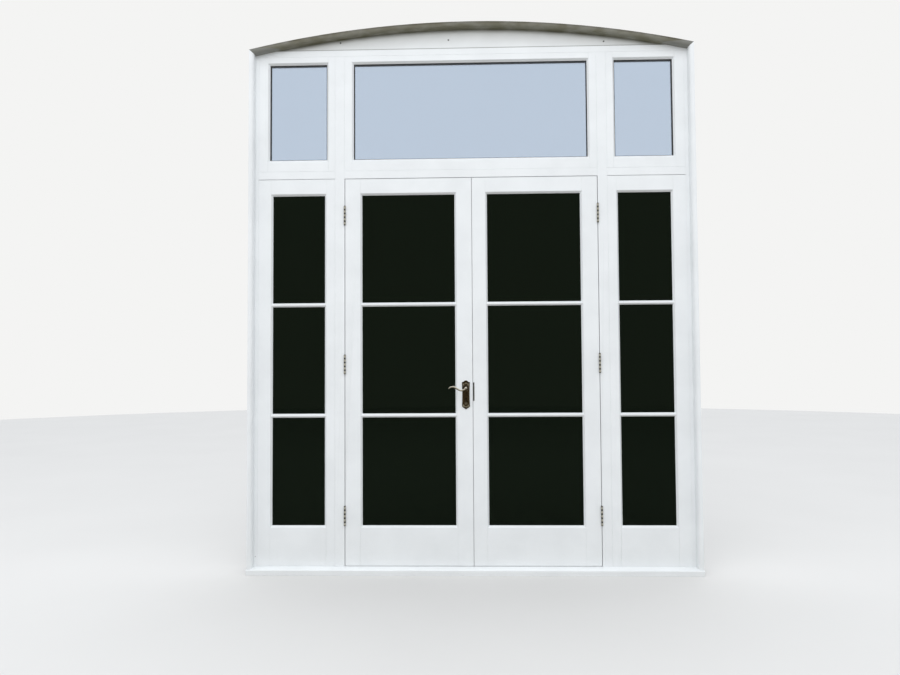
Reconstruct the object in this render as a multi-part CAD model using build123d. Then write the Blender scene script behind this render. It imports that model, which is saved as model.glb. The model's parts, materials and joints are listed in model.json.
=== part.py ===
from build123d import *
import math
import os

# A pair of timber french doors in a glazed screen: two fixed sidelights, three fixed
# toplights and a segmental arched head, painted, with brass furniture.
# X runs across the screen, Y into the building, Z up. The origin is in the middle of the
# sill's underside in X, on the outer face of the frame in Y, and on the underside in Z.

# Screen
FRAME_W = 2320.0
FRAME_DEPTH = 95.0
JAMB_W = 56.0
STOP_W = 13.0
STOP_Y = 57.0
FIXED_GAP = 1.0

# Sill
SILL_NOSE_Y = -45.0
SILL_BACK_Y = 100.0
SILL_NOSE_H = 26.0
SILL_SEAT_Z = 35.0
SILL_SEAT_Y = 8.0
SILL_UPSTAND_H = 15.0
SILL_HORN = 3.0
SILL_ARRIS_R = 3.0
DRIP_R = 3.0
DRIP_Y = -33.0

# Mullions, transoms and head
SIDELIGHT_OPENING_W = 392.5
MULLION_FACE = 50.0
TRANSOM_Z = 2050.0
TRANSOM_FACE = 40.0
HEAD_Z = 2704.0
HEAD_FACE = 32.0

# Arched head
ARCH_RISE = 129.0
ARCH_SPRING_DROP = 4.0
ARCH_BOARD_T = 22.0
ARCH_LINING_T = 9.0
ARCH_RIB_H = 40.0
ARCH_STUD_W = 44.0
ARCH_MIDDLE_STUD_X = -105.0
BEAD_W = 25.0
BEAD_PROUD = 40.0
BEAD_ROUND_R = 18.0
BEAD_ROUND_FLATS = 6

# Sashes and leaves
LEAF_T = 54.0
LEAF_BOTTOM_Z = 39.0
LEAF_GAP = 3.0
MEET_X = 5.0
MEET_GAP = 2.0
MEET_LIP_T = 27.0
MEET_STEP_GAP = 3.0
MEET_TONGUE_W = 12.0
MEET_BACK_GAP = 2.5
MEET_SPLAY = 2.0
HANGING_STILE = 88.5
MEETING_STILE = 89.0
BOTTOM_RAIL = 202.0
TOP_RAIL = 85.0
SIDE_INNER_STILE = 54.5
SIDE_OUTER_STILE = 74.5
TOPLIGHT_INNER_STILE = 43.5
TOPLIGHT_OUTER_STILE = 56.5
TOPLIGHT_CENTRE_STILE = 46.5
TOPLIGHT_BOTTOM_RAIL = 62.0
TOPLIGHT_TOP_RAIL = 39.0
MOULD_W = 9.0
MOULD_D = 12.0
MOULD_LAND = 2.0
TENON_T = 16.0
TENON_Y = 19.0
TENON_SHOULDER = 6.0
TENON_COVER = 12.0

# Glazing
REBATE_W = 12.0
GLASS_T = 4.0
CAVITY_T = 16.0
GLASS_EDGE_GAP = 3.0
SPACER_W = 7.0
GLAZING_BEAD_SLOPE = 4.0
BAR_CENTRES_Z = (807.5, 1385.5)
BAR_W = 20.0
BAR_NOSE_W = 6.0
BAR_SETBACK = 2.5
BAR_BASE_T = 2.0

# Butt hinges
HINGE_H = 102.0
HINGE_Z = (292.5, 1074.0, 1854.0)
KNUCKLE_R = 5.0
KNUCKLE_COUNT = 5
KNUCKLE_AXIAL_GAP = 0.3
KNUCKLE_STANDOFF = 0.3
PIN_R = 2.5
PIN_CLEARANCE = 0.05
BARREL_SIDES = 12
PLATE_T = 2.5
PLATE_GAP = 0.6
PLATE_BACK_Y = 32.0

# Lock and lever furniture
SPINDLE_X = -31.0
SPINDLE_Z = 949.0
KEY_DROP = 57.0
LOCK_Y = 14.0
CASE_T = 14.0
CASE_BACK_X = -60.0
CASE_TOP = 34.0
CASE_BOTTOM = 88.0
CASE_FIT = 0.5
FOREND_T = 2.5
FOREND_W = 20.0
FOREND_TOP = 64.0
FOREND_BOTTOM = 118.0
FOLLOWER_R = 9.0
FOLLOWER_FIT = 0.05
SPINDLE_SIDE = 8.0
LATCH_OUT = 10.0
LATCH_TAIL = 14.0
LATCH_H = 14.0
LATCH_T = 10.0
BOLT_FIT = 0.3
LATCH_NOSE_T = 2.5
LATCH_BEVEL_FROM = 1.5
DEADBOLT_H = 14.0
DEADBOLT_L = 27.0
DEADBOLT_RISE = 3.0
DEADBOLT_SETBACK = 0.5
DEADBOLT_TRAVEL = 14.0
KEYHOLE_R = 3.5
KEYHOLE_SLOT_W = 3.0
KEYHOLE_DROP = 11.0
STRIKE_T = 1.5
STRIKE_TOP = 28.0
STRIKE_BOTTOM = 67.0
STRIKE_LIP_W = 7.0
STRIKE_LIP_T = 1.2
STRIKE_FACE_T = 24.0
STRIKE_POCKET_Y = (4.0, 22.0)
STRIKE_POCKET_FIT = 1.5

# Lever plates: a domed crown between ears, drawn-in sides and a pointed ogee foot
PLATE_W = 41.0
PLATE_BASE_T = 3.0
PLATE_FIELD_T = 3.6
PLATE_BORDER_W = 2.6
PLATE_TOP = 38.0
PLATE_BOTTOM = 112.0
CROWN_HALF_W = 11.0
CROWN_H = 7.0
CROWN_BOW = 2.6
EAR_W = 3.0
EAR_H = 4.0
EAR_DIP = 0.5
WAIST = 1.8
FOOT_H = 14.0
FOOT_HALF_W = 11.5
FOOT_EASE = 5.0
FOOT_BOW = 1.2
RELIEF_T = 1.4
RELIEF_SINK = 0.1
REED_W = 3.0
REED_L = 58.0
REED_Y = -45.0
REED_X = (-6.0, 0.0, 6.0)

# Levers: a turned neck and an arm along an S-scroll, as (across, up) from the spindle, with
# (share of the path, half height, half depth) where the arm's section is set
COLLAR_R = 12.0
COLLAR_T = 3.0
COLLAR_TAPER = 2.5
NECK_R = 8.0
NECK_FIT = 0.1
NECK_WAIST_R = 6.0
NECK_STEP = 2.0
LEVER_PROUD = 48.0
LEVER_CAP_H = 6.0
LEVER_CAP_R = 4.5
NECK_SIDES = 16
ARM_SIDES = 12
ARM_RINGS = 12
ARM_PATH = ((2, 0), (-11, -9), (-27, -11.5), (-46, -1.5), (-64, 6.5), (-79, 4.5), (-89, -4))
ARM_SECTIONS = ((0.0, 5.6, 6.2), (0.15, 5.0, 5.6), (0.32, 4.6, 5.0), (0.5, 5.2, 5.6),
                (0.7, 5.8, 6.2), (0.86, 5.0, 5.6), (1.0, 2.6, 3.4))

# Slide bolts on the slave leaf
ROD_R = 4.0
ROD_Y = 64.0
ROD_X = 44.0
ROD_L = 160.0
ROD_TRAVEL = 18.0
ROD_TIP_GAP = 3.0
ROD_FIT = 0.1
BOLT_PLATE_W = 30.0
BOLT_PLATE_T = 2.5
BOLT_PLATE_H = 146.0
BOLT_PLATE_SETBACK = 8.0
STAPLE_W = 18.0
STAPLE_H = 10.0
STAPLE_WALL = 2.5
STAPLE_INSET = 14.0
KNOB_R = 6.0
KNOB_H = 9.0
KNOB_STEM_R = 2.8
KNOB_STEM_L = 12.0
KNOB_FROM_TAIL = 45.0
KEEP_T = 2.0
KEEP_W = 26.0

# Weather seals
SEAL_GAP = 0.3
SEAL_INSET = 1.5
SEAL_STRIP_W = 7.0
MEET_SEAL_T = 1.4

# Frame fixings through the jambs
FIXING_R = 5.25
FIXING_SETBACK = 19.0
FIXING_Z = (150.0, 900.0, 1650.0, 2450.0)

# Places worked out from the sizes above
HALF_W = FRAME_W / 2
STOP_INNER_X = HALF_W - JAMB_W
JAMB_REBATE_X = STOP_INNER_X + STOP_W
MULLION_X = STOP_INNER_X - SIDELIGHT_OPENING_W - MULLION_FACE / 2
MULLION_IN = MULLION_X - MULLION_FACE / 2
MULLION_OUT = MULLION_X + MULLION_FACE / 2
UPSTAND_Z = SILL_SEAT_Z + SILL_UPSTAND_H
TRANSOM_TOP = TRANSOM_Z + TRANSOM_FACE
HEAD_TOP = HEAD_Z + HEAD_FACE
ARCH_SPRING_Z = HEAD_TOP - ARCH_SPRING_DROP
LEAF_TOP_Z = TRANSOM_Z - LEAF_GAP
ARCH_R = (HALF_W ** 2 + ARCH_RISE ** 2) / (2 * ARCH_RISE)
ARCH_CROWN_Z = ARCH_SPRING_Z + ARCH_RISE
ARCH_CENTRE_Z = ARCH_CROWN_Z - ARCH_R
GLASS_Y = MOULD_D + MOULD_LAND
UNIT_T = 2 * GLASS_T + CAVITY_T
GLASS_BACK_Y = GLASS_Y + UNIT_T
LEFT_EDGE_X = MEET_X - MEET_GAP / 2
RIGHT_EDGE_X = MEET_X + MEET_GAP / 2
TONGUE_X = RIGHT_EDGE_X - MEET_TONGUE_W
TONGUE_Y = MEET_LIP_T + MEET_STEP_GAP
HINGE_X = MULLION_IN - LEAF_GAP / 2
HINGE_Y = -(KNUCKLE_R + KNUCKLE_STANDOFF)
KEY_Z = SPINDLE_Z - KEY_DROP
FIXING_Y = FRAME_DEPTH - FIXING_SETBACK
SEAL_W = STOP_W - LEAF_GAP - 2 * SEAL_INSET

PARTS = {}


def block(x0, x1, y0, y1, z0, z1):
    """A box between two corners."""
    middle = Pos((x0 + x1) / 2, (y0 + y1) / 2, (z0 + z1) / 2)
    return middle * Box(x1 - x0, y1 - y0, z1 - z0)


def prism(points, direction):
    """A straight prism on a closed outline of 3-D points."""
    return extrude(make_face(Polyline(*points, close=True)), amount=Vector(direction).length,
                   dir=direction)


def prism_x(points, x0, x1):
    """A prism along X on (y, z) points."""
    return prism([(x0, y, z) for y, z in points], (x1 - x0, 0, 0))


def prism_y(points, y0, y1):
    """A prism along Y on (x, z) points."""
    return prism([(x, y0, z) for x, z in points], (0, y1 - y0, 0))


def prism_z(points, z0, z1):
    """A prism along Z on (x, y) points."""
    return prism([(x, y, z0) for x, y in points], (0, 0, z1 - z0))


def rod_y(x, z, radius, y0, y1):
    """A round bar or hole along Y."""
    return Pos(x, (y0 + y1) / 2, z) * Rot(90, 0, 0) * Cylinder(radius, y1 - y0)


def rod_z(x, y, radius, z0, z1):
    """A round bar or hole along Z."""
    return Pos(x, y, (z0 + z1) / 2) * Cylinder(radius, z1 - z0)


def rod_x(y, z, radius, x0, x1):
    """A round bar or hole along X."""
    return Pos((x0 + x1) / 2, y, z) * Rot(0, 90, 0) * Cylinder(radius, x1 - x0)


def tapered_y(x0, x1, z0, z1, grow, y0, y1):
    """A four-sided frustum along Y: the rectangle at y1, grown by grow at y0."""
    outer = [(x0 - grow, y0, z0 - grow), (x1 + grow, y0, z0 - grow),
             (x1 + grow, y0, z1 + grow), (x0 - grow, y0, z1 + grow)]
    inner = [(x0, y1, z0), (x1, y1, z0), (x1, y1, z1), (x0, y1, z1)]
    faces = [make_face(Polyline(*ring, close=True)) for ring in (outer, inner)]
    return loft(faces)


def keep(name, *solids):
    """File the solids of one node."""
    found = []
    for solid in solids:
        found += list(solid.solids())
    PARTS[name] = Compound(children=found) if len(found) > 1 else found[0]


def mirrored(shape):
    """The same shape on the other side of the middle."""
    return mirror(shape, about=Plane.YZ)


def arch_sector(radius, y0, y1):
    """Everything inside one arch radius and the frame's width, above the head's underside."""
    disc = Pos(0, (y0 + y1) / 2, ARCH_CENTRE_Z) * Rot(90, 0, 0) * Cylinder(radius, y1 - y0)
    return disc & block(-HALF_W, HALF_W, y0, y1, HEAD_Z - STOP_W, ARCH_CROWN_Z + 1)


def make_sill():
    """Sill with a weathered top, an upstand behind the doors and a drip groove."""
    outline = [(SILL_NOSE_Y, 0), (SILL_NOSE_Y, SILL_NOSE_H), (SILL_SEAT_Y, SILL_SEAT_Z),
               (STOP_Y, SILL_SEAT_Z), (STOP_Y, UPSTAND_Z), (SILL_BACK_Y, UPSTAND_Z),
               (SILL_BACK_Y, 0)]
    half = HALF_W + SILL_HORN
    sill = prism_x(outline, -half, half)
    nose = [e for e in sill.edges().filter_by(Axis.X)
            if abs(e.center().Y - SILL_NOSE_Y) < 0.1 and e.center().Z > SILL_NOSE_H - 0.1]
    sill = fillet(nose, SILL_ARRIS_R)
    return sill - rod_x(DRIP_Y, 0, DRIP_R, -half - 1, half + 1)


def make_frame():
    """Sill, jambs, mullions, transoms and head, scribed to each other."""
    sill = make_sill()
    head_outline = [(0, HEAD_Z), (0, HEAD_TOP), (FRAME_DEPTH, HEAD_TOP),
                    (FRAME_DEPTH, HEAD_Z - STOP_W), (STOP_Y, HEAD_Z - STOP_W), (STOP_Y, HEAD_Z)]
    head = prism_x(head_outline, -HALF_W, HALF_W) & arch_sector(ARCH_R, 0, FRAME_DEPTH)
    jamb = prism_z([(HALF_W, 0), (JAMB_REBATE_X, 0), (JAMB_REBATE_X, STOP_Y),
                    (STOP_INNER_X, STOP_Y), (STOP_INNER_X, FRAME_DEPTH), (HALF_W, FRAME_DEPTH)],
                   0, HEAD_Z)
    for z in FIXING_Z:
        jamb -= rod_x(FIXING_Y, z, FIXING_R, STOP_INNER_X - 1, HALF_W + 1)
    mullion = block(MULLION_IN, MULLION_OUT, 0, STOP_Y, 0, HEAD_Z)
    mullion += block(MULLION_IN - STOP_W, MULLION_OUT + STOP_W, STOP_Y, FRAME_DEPTH, 0, HEAD_Z)
    for z in HINGE_Z:
        mullion -= block(MULLION_IN - 1, frame_plate_x()[1], -1, PLATE_BACK_Y,
                         z - HINGE_H / 2, z + HINGE_H / 2)
    jamb = jamb - sill - head
    mullion = mullion - sill - head
    keep("left_jamb", mirrored(jamb))
    keep("right_jamb", jamb)
    keep("left_mullion", mirrored(mullion))
    keep("right_mullion", mullion)

    centre = transom(-MULLION_IN, MULLION_IN, STOP_W, STOP_W)
    side = transom(MULLION_OUT, JAMB_REBATE_X, STOP_W, STOP_W)
    stop_z = TRANSOM_Z - STOP_W
    centre -= rod_z(ROD_X, ROD_Y, ROD_R + BOLT_FIT, stop_z - 1, stop_z + ROD_TRAVEL)
    centre -= bolt_keep(stop_z, 1)
    sill -= rod_z(ROD_X, ROD_Y, ROD_R + BOLT_FIT, UPSTAND_Z - ROD_TRAVEL, UPSTAND_Z + 1)
    sill -= bolt_keep(UPSTAND_Z, -1)
    keep("sill", sill)
    keep("head_rail", head)
    keep("centre_transom", centre)
    keep("left_transom", mirrored(side))
    keep("right_transom", side)
    keeps = []
    for z, side_of in ((stop_z, 1), (UPSTAND_Z, -1)):
        hole = rod_z(ROD_X, ROD_Y, ROD_R + BOLT_FIT, z - KEEP_T - 1, z + KEEP_T + 1)
        keeps.append(bolt_keep(z, side_of) - hole)
    keep("bolt_keeps", *keeps)


def transom(x0, x1, left_stop, right_stop):
    """One transom, with its face between the rebates and its stop between the stops."""
    face = block(x0, x1, 0, STOP_Y, TRANSOM_Z, TRANSOM_TOP)
    stop = block(x0 + left_stop, x1 - right_stop, STOP_Y, FRAME_DEPTH,
                 TRANSOM_Z - STOP_W, TRANSOM_TOP + STOP_W)
    return face + stop


def bolt_keep(z, side_of):
    """The plate let in flush where a slide bolt enters; side_of is 1 above, -1 below."""
    z0, z1 = sorted((z, z + side_of * KEEP_T))
    return block(ROD_X - KEEP_W / 2, ROD_X + KEEP_W / 2, STOP_Y, STOP_Y + 2 * (ROD_Y - STOP_Y),
                 z0, z1)


def make_arch():
    """Infill board, curved rib, studs and lining over the head, and the bead round the screen."""
    above = block(-HALF_W, HALF_W, -1, FRAME_DEPTH + 1, HEAD_TOP, ARCH_CROWN_Z + 1)
    board = arch_sector(ARCH_R, 0, ARCH_BOARD_T) & above
    rib_back = FRAME_DEPTH - ARCH_LINING_T
    rib_field = arch_sector(ARCH_R, ARCH_BOARD_T, rib_back) & above
    rib_void = arch_sector(ARCH_R - ARCH_RIB_H, ARCH_BOARD_T - 1, rib_back + 1)
    rib = rib_field - rib_void
    studs = [rib_field & rib_void & block(x - ARCH_STUD_W / 2, x + ARCH_STUD_W / 2,
                                          0, FRAME_DEPTH, HEAD_TOP, ARCH_CROWN_Z)
             for x in (-MULLION_X, ARCH_MIDDLE_STUD_X, MULLION_X)]
    lining = arch_sector(ARCH_R, rib_back, FRAME_DEPTH) & above
    keep("arch_board", board)
    keep("arch_ribs", rib, *studs)
    keep("arch_lining", lining)


def bead_outline():
    """The bead's section as (inset from the outer edge, y) points, its lit corner eased by flats."""
    turn_x = BEAD_W - BEAD_ROUND_R
    turn_y = BEAD_ROUND_R - BEAD_PROUD
    points = [(0, 0), (0, -BEAD_PROUD)]
    for i in range(BEAD_ROUND_FLATS + 1):
        angle = math.radians(90 * i / BEAD_ROUND_FLATS)
        points.append((turn_x + BEAD_ROUND_R * math.sin(angle),
                       turn_y - BEAD_ROUND_R * math.cos(angle)))
    return points + [(BEAD_W, 0)]


def make_beads():
    """Bead planted round the outer edge: two uprights mitred to one curved length."""
    inner_x = HALF_W - BEAD_W
    inner_r = ARCH_R - BEAD_W
    corner_z = ARCH_CENTRE_Z + math.sqrt(inner_r ** 2 - inner_x ** 2)
    slope = (ARCH_SPRING_Z - corner_z) / BEAD_W
    below = [(inner_x - 1, 0), (HALF_W + 1, 0), (HALF_W + 1, ARCH_SPRING_Z + slope),
             (inner_x - 1, corner_z - slope)]
    corner = prism_y(below, -BEAD_PROUD - 1, 1)

    upright = prism_z([(HALF_W - inset, y) for inset, y in bead_outline()], 0, ARCH_CROWN_Z)
    upright = largest((upright & corner) - PARTS["sill"])

    section = [(0, y, ARCH_CROWN_Z - inset) for inset, y in bead_outline()]
    axis = Axis((0, 0, ARCH_CENTRE_Z), (0, 1, 0))
    half_angle = math.degrees(math.asin(HALF_W / ARCH_R)) + 1
    start = make_face(Polyline(*section, close=True)).rotate(axis, -half_angle)
    curved = revolve(start, axis, 2 * half_angle)
    curved &= block(-HALF_W, HALF_W, -BEAD_PROUD - 1, 1, HEAD_Z - 3 * BEAD_W, ARCH_CROWN_Z + 1)
    curved = largest(curved - corner - mirrored(corner))
    keep("arch_bead", curved)
    keep("right_side_bead", upright)
    keep("left_side_bead", mirrored(upright))


def sight_lines(x0, x1, z0, z1, widths):
    """The glass opening left by left stile, right stile, bottom rail and top rail."""
    left, right, bottom, top = widths
    return x0 + left, x1 - right, z0 + bottom, z1 - top


def sash_wood(x0, x1, z0, z1, widths, thick, shape_slab=None):
    """The stiles and rails of one sash: moulded outside, rebated inside, mitred and tenoned."""
    sx0, sx1, sz0, sz1 = sight_lines(x0, x1, z0, z1, widths)
    slab = block(x0, x1, 0, thick, z0, z1)
    slab -= tapered_y(sx0, sx1, sz0, sz1, MOULD_W * (MOULD_D + 1) / MOULD_D, -1, MOULD_D)
    slab -= block(sx0, sx1, MOULD_D - 0.5, thick, sz0, sz1)
    slab -= block(sx0 - REBATE_W, sx1 + REBATE_W, GLASS_Y, thick + 1, sz0 - REBATE_W, sz1 + REBATE_W)
    if shape_slab:
        slab = shape_slab(slab)

    def stile_zone(edge, sight, inward):
        shoulder = sight - inward * MOULD_W
        outer = edge - inward
        return prism_y([(outer, z0 - 1), (shoulder, z0 - 1), (shoulder, sz0 - MOULD_W),
                        (sight, sz0), (sight, sz1), (shoulder, sz1 + MOULD_W),
                        (shoulder, z1 + 1), (outer, z1 + 1)], -1, thick + 1)

    left_zone, right_zone = stile_zone(x0, sx0, 1), stile_zone(x1, sx1, -1)
    left, right = slab & left_zone, slab & right_zone
    rails = sorted((slab - left_zone - right_zone).solids(), key=lambda s: s.center().Z)
    bottom, top = rails[0], rails[-1]
    bottom_tenon = (z0 + TENON_SHOULDER, sz0 - REBATE_W - TENON_SHOULDER)
    top_tenon = (sz1 + REBATE_W + TENON_SHOULDER, z1 - TENON_SHOULDER)
    reach = (widths[0] - MOULD_W - TENON_COVER, widths[1] - MOULD_W - TENON_COVER)
    y_span = (TENON_Y, TENON_Y + TENON_T)
    for shoulder, tip in ((sx0 - MOULD_W, sx0 - MOULD_W - reach[0]),
                          (sx1 + MOULD_W, sx1 + MOULD_W + reach[1])):
        ends = sorted((shoulder, tip))
        lower = block(*ends, *y_span, *bottom_tenon)
        upper = block(*ends, *y_span, *top_tenon)
        left = left - lower - upper
        right = right - lower - upper
        bottom, top = bottom + lower, top + upper
    return left, right, bottom, top


def glass_unit(x0, x1, z0, z1, bars_z=()):
    """One sealed unit: two sheets and the spacer between them, with cross spacers at bars."""
    grow = REBATE_W - GLASS_EDGE_GAP
    x0, x1, z0, z1 = x0 - grow, x1 + grow, z0 - grow, z1 + grow
    outer = block(x0, x1, GLASS_Y, GLASS_Y + GLASS_T, z0, z1)
    inner = block(x0, x1, GLASS_BACK_Y - GLASS_T, GLASS_BACK_Y, z0, z1)
    y0, y1 = GLASS_Y + GLASS_T, GLASS_BACK_Y - GLASS_T
    edge = grow + SPACER_W / 2
    spacer = block(x0, x1, y0, y1, z0, z1)
    spacer -= block(x0 + edge, x1 - edge, y0 - 1, y1 + 1, z0 + edge, z1 - edge)
    for z in bars_z:
        spacer += block(x0, x1, y0, y1, z - SPACER_W / 2, z + SPACER_W / 2)
    return [outer, spacer, inner]


def glazing_beads(x0, x1, z0, z1, thick):
    """Four mitred beads that hold one unit from the inside, their free faces sloped."""
    outer = [(x0 - REBATE_W, z0 - REBATE_W), (x1 + REBATE_W, z0 - REBATE_W),
             (x1 + REBATE_W, z1 + REBATE_W), (x0 - REBATE_W, z1 + REBATE_W)]
    inner = [(x0, z0), (x1, z0), (x1, z1), (x0, z1)]
    slope = GLAZING_BEAD_SLOPE
    hole = tapered_y(x0 - slope, x1 + slope, z0 - slope, z1 + slope, -slope, GLASS_BACK_Y, thick)
    beads = []
    for i in range(4):
        j = (i + 1) % 4
        beads.append(prism_y([outer[i], outer[j], inner[j], inner[i]], GLASS_BACK_Y, thick) - hole)
    return beads


def glazing_bars(x0, x1, wood, beads, thick):
    """Outside and inside bars, bevelled, fixed on the glass and scribed to the mouldings."""
    bars = []
    for z in BAR_CENTRES_Z:
        half, nose = BAR_W / 2, BAR_NOSE_W / 2
        front_y, base_y = BAR_SETBACK, GLASS_Y - BAR_BASE_T
        outside = prism_x([(GLASS_Y, z - half), (base_y, z - half), (front_y, z - nose),
                           (front_y, z + nose), (base_y, z + half), (GLASS_Y, z + half)],
                          x0 - REBATE_W, x1 + REBATE_W)
        back_y, inner_base = thick - BAR_SETBACK, GLASS_BACK_Y + BAR_BASE_T
        inside = prism_x([(GLASS_BACK_Y, z - half), (inner_base, z - half), (back_y, z - nose),
                          (back_y, z + nose), (inner_base, z + half), (GLASS_BACK_Y, z + half)],
                         x0 - REBATE_W, x1 + REBATE_W)
        for piece in wood:
            outside -= piece
        for piece in beads:
            inside -= piece
        bars.append(largest(outside))
        bars.append(largest(inside))
    return bars


def largest(shape):
    """The biggest solid of a cut shape."""
    return max(shape.solids(), key=lambda s: s.volume)


def make_fixed_lights():
    """Two sidelights and three toplights, bedded against the frame's stops."""
    side_span = (MULLION_OUT + FIXED_GAP, JAMB_REBATE_X - FIXED_GAP)
    door_z = (LEAF_BOTTOM_Z, LEAF_TOP_Z)
    top_z = (TRANSOM_TOP + FIXED_GAP, HEAD_Z - FIXED_GAP)
    half_centre = MULLION_IN - FIXED_GAP
    beads, top_glass = [], []

    side_widths = (SIDE_INNER_STILE, SIDE_OUTER_STILE, BOTTOM_RAIL, TOP_RAIL)
    wood = sash_wood(*side_span, *door_z, side_widths, STOP_Y)
    lines = sight_lines(*side_span, *door_z, side_widths)
    around = glazing_beads(*lines, STOP_Y)
    bars = glazing_bars(*lines[:2], wood, around, STOP_Y)
    unit = glass_unit(*lines, BAR_CENTRES_Z)
    keep("right_sidelight_sash", *wood)
    keep("left_sidelight_sash", *[mirrored(w) for w in wood])
    keep("sidelight_bars", *bars, *[mirrored(b) for b in bars])
    keep("right_sidelight_glass", *unit)
    keep("left_sidelight_glass", *[mirrored(g) for g in unit])
    beads += around + [mirrored(b) for b in around]

    outer_widths = (TOPLIGHT_INNER_STILE, TOPLIGHT_OUTER_STILE, TOPLIGHT_BOTTOM_RAIL,
                    TOPLIGHT_TOP_RAIL)
    wood = sash_wood(*side_span, *top_z, outer_widths, STOP_Y)
    lines = sight_lines(*side_span, *top_z, outer_widths)
    keep("right_toplight_sash", *wood)
    keep("left_toplight_sash", *[mirrored(w) for w in wood])
    unit = glass_unit(*lines)
    top_glass += unit + [mirrored(g) for g in unit]
    around = glazing_beads(*lines, STOP_Y)
    beads += around + [mirrored(b) for b in around]

    centre_widths = (TOPLIGHT_CENTRE_STILE, TOPLIGHT_CENTRE_STILE, TOPLIGHT_BOTTOM_RAIL,
                     TOPLIGHT_TOP_RAIL)
    wood = sash_wood(-half_centre, half_centre, *top_z, centre_widths, STOP_Y)
    lines = sight_lines(-half_centre, half_centre, *top_z, centre_widths)
    keep("centre_toplight_sash", *wood)
    top_glass += glass_unit(*lines)
    beads += glazing_beads(*lines, STOP_Y)
    keep("toplight_glass", *top_glass)
    keep("fixed_light_beads", *beads)


def frame_plate_x():
    """X span of the right-hand hinges' plates on the mullion."""
    inner = HINGE_X + PLATE_GAP / 2
    return inner, inner + PLATE_T


def leaf_plate_x():
    """X span of the right-hand hinges' plates on the leaf."""
    outer = HINGE_X - PLATE_GAP / 2
    return outer - PLATE_T, outer


def leaf_recesses(mirror_to_left):
    """The sinkings for three hinge plates in a hanging stile."""
    cuts = []
    for z in HINGE_Z:
        cut = block(leaf_plate_x()[0], HINGE_X, -1, PLATE_BACK_Y, z - HINGE_H / 2, z + HINGE_H / 2)
        cuts.append(mirrored(cut) if mirror_to_left else cut)
    return cuts


def make_leaf(side):
    """One door leaf, side is left or right, with rebated and splayed meeting stiles."""
    is_left = side == "left"
    outer_x = HINGE_X - LEAF_GAP / 2
    x0, x1 = (-outer_x, LEFT_EDGE_X) if is_left else (TONGUE_X, outer_x)
    if is_left:
        widths = (HANGING_STILE, MEETING_STILE, BOTTOM_RAIL, TOP_RAIL)
    else:
        slave_stile = MEETING_STILE + MEET_TONGUE_W - 2 * MEET_X
        widths = (slave_stile, HANGING_STILE, BOTTOM_RAIL, TOP_RAIL)

    def shape_slab(slab):
        z0, z1 = LEAF_BOTTOM_Z - 1, LEAF_TOP_Z + 1
        if is_left:
            back_x = TONGUE_X - MEET_BACK_GAP
            slab -= prism_z([(back_x, MEET_LIP_T), (LEFT_EDGE_X + 1, MEET_LIP_T),
                             (LEFT_EDGE_X + 1, LEAF_T + 1), (back_x - MEET_SPLAY, LEAF_T + 1)],
                            z0, z1)
        else:
            slab -= block(TONGUE_X - 1, RIGHT_EDGE_X, -1, TONGUE_Y, z0, z1)
            slab -= prism_z([(TONGUE_X - 1, TONGUE_Y - 1), (TONGUE_X, TONGUE_Y),
                             (TONGUE_X + MEET_SPLAY, LEAF_T + 1), (TONGUE_X - 1, LEAF_T + 1)],
                            z0, z1)
        for cut in leaf_recesses(is_left):
            slab -= cut
        return slab

    wood = sash_wood(x0, x1, LEAF_BOTTOM_Z, LEAF_TOP_Z, widths, LEAF_T, shape_slab)
    lines = sight_lines(x0, x1, LEAF_BOTTOM_Z, LEAF_TOP_Z, widths)
    beads = glazing_beads(*lines, LEAF_T)
    left_stile, right_stile, bottom, top = wood
    hanging, meeting = (left_stile, right_stile) if is_left else (right_stile, left_stile)
    for cut in (lock_cuts() if is_left else strike_cuts()):
        meeting -= cut
    keep(side + "_leaf_hanging_stile", hanging)
    keep(side + "_leaf_meeting_stile", meeting)
    keep(side + "_leaf_bottom_rail", bottom)
    keep(side + "_leaf_top_rail", top)
    keep(side + "_leaf_bars", *glazing_bars(*lines[:2], wood, beads, LEAF_T))
    keep(side + "_leaf_glass", *glass_unit(*lines, BAR_CENTRES_Z))
    keep(side + "_leaf_beads", *beads)


def barrel(radius, z0, z1, is_hole=False):
    """A knuckle, pin or its hole on the right-hand hinge axis, with flats that keep its facets few."""
    section = RegularPolygon(radius, BARREL_SIDES, major_radius=not is_hole)
    return Pos(HINGE_X, HINGE_Y, z0) * extrude(section, amount=z1 - z0)


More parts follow.
